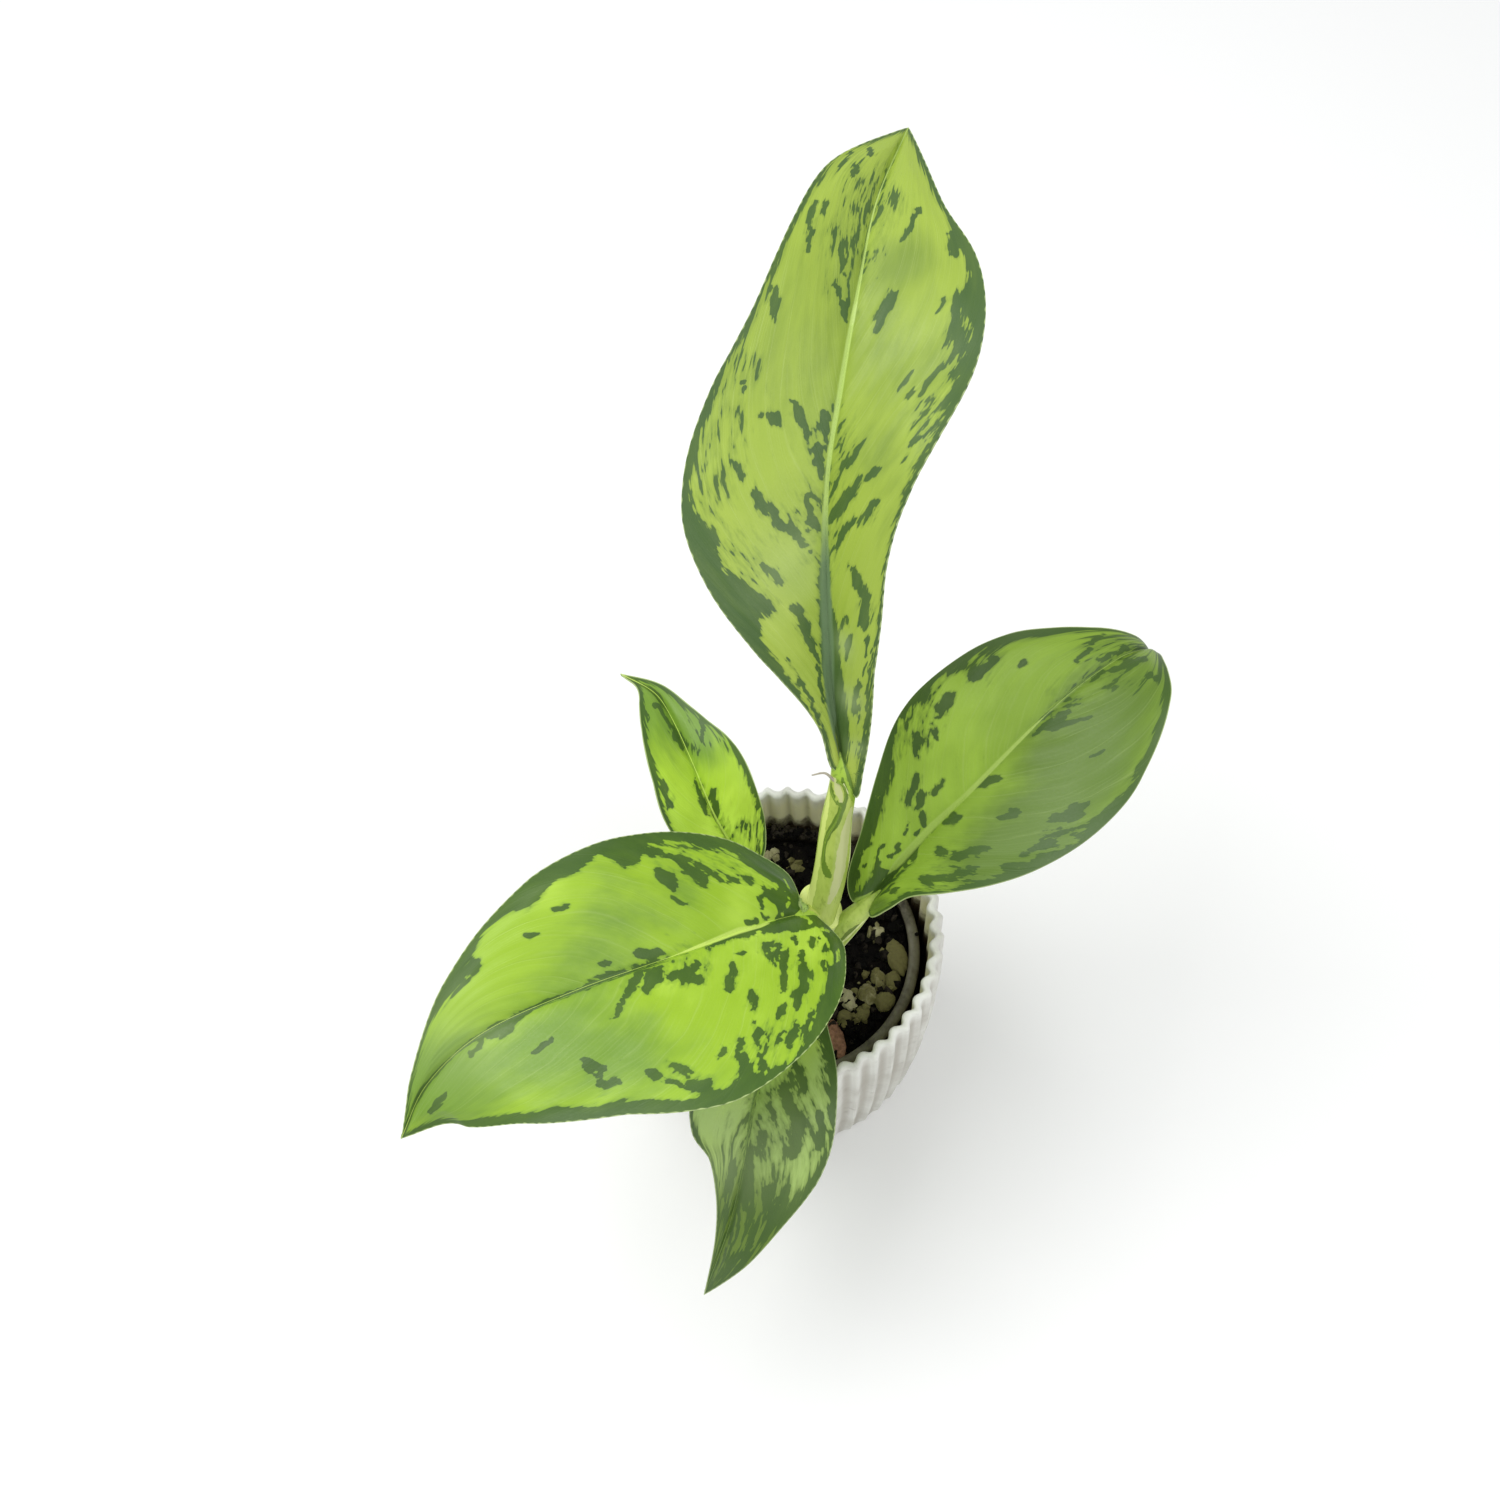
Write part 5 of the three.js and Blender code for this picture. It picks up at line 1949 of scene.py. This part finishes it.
TOP_MARKS = Markings(
    margin_left=(
        (0, 0.8, 1.2), (20, 1.3, 1.4), (30, 2, 1.6), (36, 2.8, 2), (40, 5, 2.5), (44, 7.6, 4),
        (50, 8.6, 4.5), (56, 7.6, 4.5), (60, 6, 4.5), (64, 3.6, 4), (78, 3.2, 4.5), (86, 1.8, 2.5),
        (100, 1, 2), (116, 1.2, 2), (164, 0.8, 2)),
    margin_right=(
        (0, 1.4, 2.5), (20, 0.7, 2), (62, 0.7, 2), (74, 1.8, 4.5), (84, 3.2, 4.5), (92, 5, 4.5),
        (103, 5, 4), (109, 5, 3), (114, 2.4, 2.5), (124, 2.6, 3), (132, 0.9, 2), (140, 1.4, 2.5),
        (150, 1.4, 2.5), (164, 0.8, 2)),
    rib_left=(
        (0, -1, 2), (9, 0.4, 2), (18, 1.6, 2), (28, 2, 2), (42, 1.6, 3), (50, 1.1, 4),
        (66, 0.7, 5), (84, 0.3, 4), (92, -1, 2), (104, -0.6, 3), (112, 1.2, 7), (122, 1.8, 8),
        (140, 1.6, 7), (150, 0, 4), (164, -0.5, 3)),
    rib_right=(
        (0, 0.6, 4), (8, 3, 2), (16, 4.6, 2), (28, 4.8, 2), (37, 4, 3), (43, 2, 3), (60, 2.2, 5),
        (70, 1.8, 5), (80, 0.4, 4), (92, -1, 2), (106, -0.6, 3), (114, 0.8, 5), (138, 0.9, 5),
        (148, -0.4, 3), (164, -0.5, 3)),
    rib_line=(
        (0, 0.05), (9, 0.3), (16, 1.3), (28, 2.1), (46, 1.9), (56, 1.0), (66, 0.6), (90, 0.65),
        (104, 0.5), (116, 0.3), (130, 0.15), (164, 0.1)),
    rib_shift=((0, 0), (10, -1), (20, -0.7), (30, 0.3), (48, 0.3), (60, 0)),
    clears=(
        (3, 3.6, 9, 5.6, 0.45), (10, 4.4, 17, 6.6, 0.6), (17, 5.2, 28, 6.4, 0.8),
        (30.5, 4.4, 38, 7, 0.8), (14, -4.4, 24, -7.6, 0.4), (18, -3.6, 31, -7, 0.8),
        (27, -9, 33, -12.6, 0.9)),
    fullness=0.8,
    strokes=(
        (53.5, -3.6, 58, -8, 0.8), (57.5, -7.6, 61, -12, 1.3), (61, -11.4, 65, -15.4, 1.7),
        (68, -17.6, 69.6, -20.4, 1.2), (79, -11.6, 79.6, -15.4, 1.6), (77.6, -5.4, 83.6, -10, 1.4),
        (47.6, -10.4, 50.6, -14, 1.4), (42.6, -13.6, 46.4, -20, 2.8), (32.6, -4, 41.6, -7, 1.7),
        (12, -3.2, 22, -6.2, 0.7), (22, -6.2, 31, -10.6, 0.8), (25, -9.6, 33, -15, 0.5),
        (20, -2.6, 32, -3.2, 0.6), (58, -2.4, 65, -4, 1.3), (69, -1.6, 75, -3, 1.5),
        (76.6, -1.2, 82, -2.8, 1.4), (83, -20.4, 86, -21, 0.5), (99, -16.6, 105, -18, 1.3),
        (115, -13, 128, -13.6, 0.8), (125.6, -11.2, 128.4, -11, 1.0), (103, -1.6, 107, -3, 0.9),
        (108, -4, 111, -5.6, 0.8), (113, -3.8, 118.4, -5.6, 0.9), (138, -7, 142, -7.4, 0.9),
        (147, -5, 149.6, -5.6, 0.9), (139, -10.4, 146, -9, 0.6), (39.6, 12, 45, 13.4, 2.0),
        (45, 13, 50.6, 9, 1.7), (28, 11, 31, 12, 0.5), (32, 12, 37, 13.2, 0.5),
        (5, 4.6, 10, 6.4, 0.8), (9.4, 4.2, 14, 5.8, 0.4), (14, 5.6, 17, 7.2, 0.6),
        (17, 6.4, 24, 8.2, 0.9), (22, 8.4, 27, 9, 0.5), (31, 6.6, 36, 8, 1.2),
        (37, 6, 40, 7.6, 0.9), (4, 5.6, 18, 9.2, 0.32), (18, 9.2, 34, 14, 0.32),
        (10, 6.8, 26, 11, 0.3), (54, 3, 61, 9.4, 0.9), (60.6, 11.6, 64.6, 15.4, 1.7),
        (69, 12.8, 71, 15.6, 1.2), (60, 2, 69, 10.6, 1.9), (67, 2.6, 73, 6, 0.8),
        (71.6, 6.4, 77, 10.4, 1.3), (86, 14.6, 91, 17.6, 0.6), (84.4, 18.4, 88.6, 19, 0.5),
        (86, 21, 94, 23.6, 1.3), (101.6, 6.4, 108.6, 8.2, 2.2), (122.6, 8.4, 132.6, 10, 0.9),
        (104, 19.6, 108.4, 20, 0.6), (99, 24.4, 110, 22.6, 1.4), (73, 21.6, 78, 24.4, 0.7),
        (119, 20, 126, 18.4, 1.6)),
    mottles=(
        (66, -25.6, 6, -0.12), (76, -23.6, 6, -0.12), (88, -21, 5, -0.12), (54, -19, 5, -0.2),
        (82, 26, 6, -0.02), (98, 27, 5, 0.04), (120, -3, 8, -0.04), (134, -1, 8, -0.04),
        (110, -3, 5, -0.16), (142, -9, 5, -0.16), (58, -2, 8, -0.12), (76, 0, 7, -0.12)),
    sheens=((8, 5, 2.6, 0.3), (21, 5.8, 3.6, 0.4), (34, 5.8, 3, 0.4), (50, -8, 8, 0.2)),
    tones=(
        (4, -1, 8, 0.8), (62, 10, 7, 0.5), (92, 20, 10, -0.4), (118, 10, 9, -0.6),
        (30, 6, 14, -0.15), (84, -12, 22, -0.2), (112, -10, 20, -0.3), (66, 14, 14, -0.4),
        (96, 16, 18, -0.1), (126, 6, 22, 0.1), (34, -14, 14, 0.3), (58, -10, 18, 0.25),
        (96, 2, 10, -0.2)))

RIGHT_MARKS = Markings(
    margin_left=(
        (0, 3.8, 1.6), (6, 3.6, 1.6), (9, 1.4, 1.5), (12, 1.8, 1.5), (16, 3, 1.6), (22, 3.8, 2),
        (30, 3.8, 2.5), (34, 3.6, 4), (42, 1.8, 4), (50, 3.2, 4.5), (58, 1.4, 2.5), (66, 3, 4.5),
        (74, 2.2, 3), (84, 1.4, 2), (108, 1.2, 2)),
    margin_right=(
        (0, 0.8, 2), (20, 1.4, 2.5), (34, 2, 3), (48, 2.6, 4), (58, 2.6, 3), (72, 1.8, 2.5),
        (86, 1.8, 2.5), (94, 2, 3), (108, 1.2, 2)),
    rib_left=(
        (0, 3.6, 1.6), (12, 3.6, 1.6), (13.6, -0.4, 1.6), (24, -0.8, 3), (62, -1, 2), (78, 0.4, 2),
        (90, 1.2, 4), (108, 1, 3)),
    rib_right=(
        (0, 0.4, 2), (4, 1.4, 1.6), (10, 1.8, 1.6), (15, 2.8, 2), (21, 3, 2), (23.6, 0, 2),
        (30, -0.6, 3), (60, -0.2, 3), (66, 0.8, 3), (78, 0.6, 2), (90, 1.4, 5), (108, 1, 3)),
    rib_line=(
        (0, 1.4), (3, 0.5), (5, 0.05), (11, 0.05), (14, 0.7), (17, 1.0), (26, 0.9), (50, 0.6),
        (62, 0.4), (68, 0.05), (108, 0.01)),
    rib_shift=((0, -2), (6, -1), (30, -0.8), (40, 0)),
    clears=(
        (3, -5.2, 6.4, -4.4, 0.55), (7.2, -5.2, 10, -4.8, 0.6), (7, -7.6, 11, -7.8, 0.45),
        (12.6, 1, 16, 1.3, 0.7), (18.6, 1.2, 20, 1.8, 0.45), (25.6, -14.8, 26.2, -14.6, 0.5),
        (0.5, 0.6, 3, 2.4, 0.5), (1.4, -4.6, 7, -5.6, 0.7), (5, 2, 10, 1.6, 0.3)),
    fullness=0.8,
    strokes=(
        (30, -9, 36.6, -11, 1.6), (31, -6.6, 35, -7.6, 1.2), (36, -5.4, 40, -6.4, 0.9),
        (46, -14, 48, -17, 1.0), (40, -14.6, 43.6, -17.6, 1.5), (50, -17.4, 56, -18.6, 1.6),
        (62, -18, 68.6, -17.4, 1.4), (80.6, -4.6, 90, -6.8, 0.8), (85, -2, 93, -1.2, 1.0),
        (71, -12.4, 73, -12.6, 0.7), (12, -5, 14, -6.2, 0.7), (14, -6.2, 18, -6.3, 0.6),
        (16.5, -3.2, 21.5, -3.2, 0.7), (24, -4, 26.5, -5.2, 0.6), (24.5, -2.2, 27.3, -2.6, 0.5),
        (29, -2.4, 31, -4.3, 1.0), (10, -3.6, 13, -4.6, 1.1), (8, -8.2, 12, -9, 0.5),
        (9, -6.4, 11, -7, 0.5), (13, -9, 16, -9, 0.7), (6, 2, 13, 3.6, 0.45),
        (10, 4, 14, 5.4, 0.45), (33, 0.8, 37, 3, 1.4), (27.8, 5.8, 29.4, 7.4, 1.7),
        (21, 9, 26, 12.4, 1.4), (26, 13, 34, 16.4, 1.1), (31, 10, 38, 14.6, 1.5),
        (44.6, 10.6, 48, 13, 1.2), (46, 1, 50, 3, 1.0), (53.6, 20.6, 60, 22.8, 1.6),
        (68, 15.2, 71.4, 15.6, 0.7), (61.6, 1.2, 72, 3.4, 1.3), (66, 3, 74.6, 8, 1.0),
        (43, 21, 50.4, 24, 1.3), (38.6, 20.4, 42, 23, 1.2), (86, 2, 94, 4, 1.4),
        (90, 8.6, 92.4, 9.6, 1.1)),
    mottles=(
        (44, -20, 6, -0.12), (66, -20, 5, 0.02), (26, 12, 6, -0.2), (88, 3, 8, -0.06),
        (88, -4, 6, -0.1), (52, 24, 6, 0.0), (74, 2, 5, -0.1)),
    tones=(
        (14, -7, 12, 0.7), (44, -10, 20, 0.7), (58, 14, 20, -0.9), (84, 8, 16, -0.6),
        (72, -12, 14, 0.35), (30, 10, 14, -0.3), (38, 20, 9, -0.9), (52, -20, 9, 0.4),
        (5, 3, 6, -0.8)))

LEFT_MARKS = Markings(
    margin_left=(
        (-2, 4.8, 1.6), (4, 5, 1.6), (8, 4.2, 1.6), (12, 4.8, 1.6), (16, 4, 2), (20, 3.8, 2),
        (26, 2.6, 2), (34, 1.8, 2), (38, 2, 2), (43, 4.4, 2.5), (47, 3.4, 2), (52, 2.6, 2),
        (60, 3, 2), (66, 3.2, 2), (72, 2.8, 2), (80, 3.6, 2), (86, 2.8, 2.5), (100, 2.2, 2),
        (112, 1.6, 2), (123, 1, 2)),
    margin_right=(
        (0, 4.8, 1.6), (5, 6.4, 1.6), (10, 6.4, 1.6), (15, 5.2, 2), (20, 4.8, 2.5), (28, 4.2, 2.5),
        (34, 4.6, 2.5), (40, 2.8, 2.5), (43.6, 7, 3), (48, 7, 3), (52.6, 2.4, 2), (58, 4.4, 2.5),
        (63, 3.6, 3), (66, 5, 2.5), (70, 5, 2.5), (74, 2.6, 2), (80, 1.4, 2), (84, 1.8, 2.5),
        (93, 2, 2.5), (98, 0.8, 2), (123, 0.8, 2)),
    rib_left=(
        (-2, 5.8, 1.6), (6, 6, 1.6), (11, 5.6, 1.6), (14, 4.2, 2), (20, 2.8, 2.5), (30, 1.8, 2.5),
        (38, 1.2, 2), (48, 1.2, 2), (60, 0.6, 1.6), (78, 0.5, 1.2), (86, 0.9, 3), (96, 0.5, 1.2),
        (123, 0.6, 1.2)),
    rib_right=(
        (0, 9, 1.6), (8, 9, 1.6), (11, 6, 1.6), (12.4, -0.6, 1.6), (15, -1.6, 2), (38, -0.8, 2),
        (42, 0.5, 2), (58, 0.8, 3), (68, 0.45, 1.2), (100, 0.45, 1.2), (123, 0.6, 1.2)),
    rib_line=(
        (0, 0.05), (13, 0.05), (15, 0.4), (18, 0.6), (24, 0.9), (30, 0.7), (38, 0.35), (44, 0.05),
        (123, 0.01)),
    rib_shift=((13, 0), (18, -0.6), (24, 0.1), (30, 0)),
    clears=(
        (3, -13.5, 6.5, -17.3, 0.5), (7, -15, 10, -17.2, 1.3), (0.6, -7.8, 7, -7.1, 0.6),
        (2.4, 1.6, 5, -4.4, 0.7), (14.6, -5.2, 20, -4.4, 0.6), (18, -2.9, 22, -2.3, 0.35),
        (16, -8.4, 19, -10, 0.4), (19.6, -8.6, 20.6, -8.4, 0.7), (18.2, -7, 18.8, -6.8, 0.5),
        (8, 2.3, 7.3, 4.2, 0.5), (5.5, 7, 6.8, 8.8, 0.45), (7.8, 6, 8.2, 6.1, 0.4),
        (13, 2.4, 14.2, 4.2, 1.7), (10.2, 8, 12.2, 8.1, 0.7), (12.2, 8.1, 13.4, 9.6, 0.6),
        (9.4, 1, 10.2, 1.1, 0.4)),
    sheens=((96, 2, 12, 0.2), (92, -12, 9, 0.05)),
    strokes=(
        (25, -24, 19, -20, 1.5), (18.6, -19.6, 16.6, -15.6, 1.5), (16.3, -14, 13.8, -12, 0.5),
        (6.6, -12, 8.8, -14.6, 0.7), (8.4, -9.2, 10.6, -12, 0.9), (12.2, -7, 14, -9, 0.8),
        (12, -18, 10.6, -15.6, 0.6), (3.8, -9.2, 3.4, -10.6, 0.8), (6.4, -9.6, 6.8, -9.4, 0.6),
        (11.4, 5, 14, 8, 1.3), (16.2, 3.4, 16.6, 6, 0.7), (15, 0.6, 16, 2, 0.6),
        (12, 5.6, 15.6, 6.2, 0.8), (26, -20, 22, -15.5, 0.7), (21.4, -14, 18, -9.6, 1.7),
        (22.4, -11.4, 20.6, -7, 1.6), (17.6, -7.6, 19.6, -6.2, 1.2), (36, -14, 31.5, -7.5, 1.0),
        (34.5, -21, 32, -17, 1.2), (41, -8, 45, -5, 2.1), (38, -4, 42, -6, 0.7),
        (52, -6, 47, -1.8, 1.5), (61.5, -10, 57, -5.5, 0.9), (57, -5.5, 52.5, -1.6, 1.3),
        (39.5, -35, 37.5, -29, 0.8), (37.5, -29, 35.5, -24, 0.7), (32.5, -32.5, 27, -27.5, 0.8),
        (35, -31, 31, -28.6, 0.6), (30.5, -25.3, 27.5, -23, 0.8), (43, -37, 41.5, -30, 1.0),
        (45, -28.5, 43.3, -25.7, 0.6), (42.8, -29.5, 40.3, -26, 0.8), (49, -34, 52, -31, 2.0),
        (53.5, -30.8, 56, -28.3, 0.7), (51.5, -28, 54, -25.5, 1.4), (57, -26.3, 59, -25, 1.1),
        (65.5, -24.5, 69.8, -23, 0.8), (70, -22.8, 68, -20.5, 1.0),
        (69.3, -18.8, 70.6, -16.5, 1.2), (75.3, -9.1, 80.5, -10, 0.8), (27, -6.2, 29, -6, 0.9),
        (19, -9.6, 22, -7.6, 1.7), (79, -0.6, 88, -2, 1.5), (91, -2, 95, -2.8, 0.7),
        (104.6, -5.6, 112.6, -4.8, 0.9), (22, -27, 27, -31, 0.6), (20.8, 11.2, 21.8, 12.6, 1.0),
        (25, 13, 28.5, 18.5, 1.1), (29.3, 14.3, 33, 20.6, 2.1), (36.4, 15, 39.6, 19.4, 1.9),
        (35, 9.8, 38.8, 12.8, 0.5), (35, 22, 41.5, 25.6, 0.8), (18.5, 0.9, 21.5, 1.4, 0.8),
        (46, 1.6, 51.5, 3.6, 1.1), (57.3, 3, 60.4, 3.6, 0.8), (58.5, 0.9, 63, 1, 0.8),
        (70, 14.8, 73.6, 15.8, 0.6), (62.5, 18.7, 65.2, 19, 0.8), (84, 14.6, 93, 11.4, 1.5),
        (17, 10.4, 18, 11.6, 1.4)),
    mottles=(
        (33, -31, 6, -0.2), (22, 16, 5, -0.16), (32, 24, 4, -0.12), (68, -22, 4, -0.2),
        (40, -3, 6, -0.2)),
    tones=(
        (60, -12, 16, -0.35), (76, -12, 12, -0.5), (96, -8, 14, -0.6), (110, 0, 12, -0.7),
        (76, 8, 16, 0.1), (36, -20, 16, 0.2), (48, -26, 8, -0.25), (62, -24, 9, -0.3),
        (32, 12, 8, -0.5), (68, 3, 9, -0.4), (48, -6, 6, 0.5), (64, 22, 6, 0.5), (8, -10, 8, 0.6),
        (54, 14, 14, -0.45), (22, 4, 12, 0.5), (92, 8, 10, 0.1)))

BACK_MARKS = Markings(
    margin_left=((0, 1, 2), (20, 1, 2), (30, 1.4, 2.5), (38, 1.6, 3), (50, 1.4, 2.5), (70, 1, 2)),
    margin_right=(
        (0, 2, 3), (14, 1.6, 3), (24, 1.2, 2.5), (34, 1.8, 3), (44, 1.4, 2.5), (70, 1, 2)),
    rib_left=((0, -0.8, 3), (24, 0.4, 5), (34, -0.8, 3), (44, 0.8, 5), (56, 0.6, 4), (70, 0.6, 3)),
    rib_right=((0, 0.8, 5), (20, 0.4, 5), (30, -0.8, 3), (44, 0.4, 4), (56, 0.4, 4), (70, 0.6, 3)),
    rib_line=((0, 0.5), (22, 0.25), (34, 0.1), (70, 0.05)),
    strokes=(
        (20, 0.5, 26, 2.4, 1.2), (22, -2, 29, -1.6, 1.0), (39, -1, 52, -2.2, 1.1),
        (27, -10.8, 33, -10.4, 1.0), (38, 5, 46, 8, 0.9), (48, -6, 52, -6.2, 0.7)),
    mottles=((40, 6, 6, -0.1), (10, 5, 6, -0.12)),
    tones=((12, 0, 18, 0.6), (40, 4, 16, -0.45), (54, 0, 16, -0.6)))

FRONT_MARKS = Markings(
    margin_left=(
        (0, 2, 2.5), (25, 3, 4), (34, 2.4, 3), (46, 1.6, 2.5), (60, 1.4, 2.5), (90, 1.2, 2)),
    margin_right=((0, 1.2, 2.5), (30, 1, 2), (48, 1.2, 2), (60, 1.2, 2), (90, 1, 2)),
    rib_left=((0, 0.2, 4), (36, 0.2, 5), (48, 1.6, 7), (60, 2.6, 7), (72, 2.2, 6), (90, 1.6, 4)),
    rib_right=((0, 0.2, 4), (36, 0.6, 5), (50, 1.6, 6), (66, 1, 5), (90, 1, 4)),
    rib_line=((0, 0.8), (30, 0.4), (44, 0.1), (90, 0.05)),
    strokes=(
        (30, -6.6, 36, -12.6, 1.8), (36, -12.6, 45, -12, 1.7), (33, -17, 42, -17.6, 1.4),
        (52, -7, 57, -8, 1.4), (50, -12, 60, -11, 1.2), (45, -1, 60, -3, 2.0),
        (54, -10, 66, -9, 1.0), (48, 2.4, 58, 3, 1.2), (62, -6, 72, -6.4, 1.1),
        (24, -8, 30, -12, 1.6)),
    mottles=(
        (34, -8, 8, -0.1), (48, -6, 9, -0.02), (62, -5, 9, 0.04), (76, -2, 9, 0.06),
        (50, 4, 8, -0.06), (38, -16, 5, -0.06)),
    fullness=0.8,
    sheens=((40, -6, 14, 0.2), (50, 4, 8, 0.2)),
    tones=((64, -3, 14, -1.0), (12, -10, 8, 0.6), (80, 0, 14, -1.0), (20, 0, 12, 0.6)))


def finish_leaves() -> list[Leaf]:
    """Give the five leaves their finishes and markings.

    Returns:
        The leaves.
    """
    lime = LeafFinish(
        lime=srgb(150, 186, 42), fresh=srgb(178, 212, 70), shade=srgb(110, 146, 44),
        dark=srgb(62, 92, 30), rib=srgb(212, 236, 116), edge=srgb(200, 218, 146))
    # The top leaf's grey-blue rib, before it turns pale, is partly a painted reflection in the
    # rib's groove.
    top = LeafFinish(
        lime=srgb(152, 175, 64), fresh=srgb(170, 190, 78), shade=srgb(118, 142, 54),
        dark=srgb(66, 94, 44), rib=srgb(112, 138, 108), edge=srgb(198, 214, 148), rib_turn=58)
    right = LeafFinish(
        lime=srgb(132, 164, 50), fresh=srgb(156, 190, 62), shade=srgb(92, 120, 40),
        dark=srgb(62, 90, 32), rib=srgb(170, 198, 92), edge=srgb(188, 206, 136))
    back = replace(lime, lime=srgb(168, 204, 52), fresh=srgb(206, 240, 84))
    # The front leaf's greyer lime is partly painted sheen.
    front = LeafFinish(
        lime=srgb(164, 192, 104), fresh=srgb(176, 206, 84), shade=srgb(98, 124, 44),
        dark=srgb(64, 92, 34), rib=srgb(130, 156, 92), edge=srgb(190, 206, 150))
    pale = StalkFinish(
        pale=srgb(180, 198, 96), green=srgb(138, 162, 52), spot=srgb(96, 122, 36))
    olive = StalkFinish(
        pale=srgb(178, 192, 94), green=srgb(144, 158, 58), spot=srgb(120, 112, 54))
    spotted = StalkFinish(
        pale=srgb(178, 198, 96), green=srgb(132, 160, 58), spot=srgb(98, 112, 44),
        cream=srgb(206, 220, 150), dark=srgb(96, 118, 42), streak=0.7)
    return [
        Leaf(LEAF_TOP, top, TOP_MARKS, pale),
        Leaf(LEAF_RIGHT, right, RIGHT_MARKS, spotted),
        Leaf(LEAF_LEFT, lime, LEFT_MARKS, olive),
        Leaf(LEAF_BACK, back, BACK_MARKS, olive),
        Leaf(LEAF_FRONT, front, FRONT_MARKS, olive),
    ]


def main() -> None:
    """Build every part in order and report it."""
    logging.basicConfig(level=logging.INFO, format="%(name)s %(message)s")
    bpy.context.scene.view_settings.view_transform = "Standard"
    groups = SharedGroups()
    Studio().build()
    FlutedPot().build(groups)
    NurseryPot().build(groups)
    Ground().build()
    Lumps().build()
    Cane().build()
    for leaf in finish_leaves():
        leaf.build(groups)
    Sheaths().build()
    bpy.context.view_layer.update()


if __name__ == "__main__":
    main()
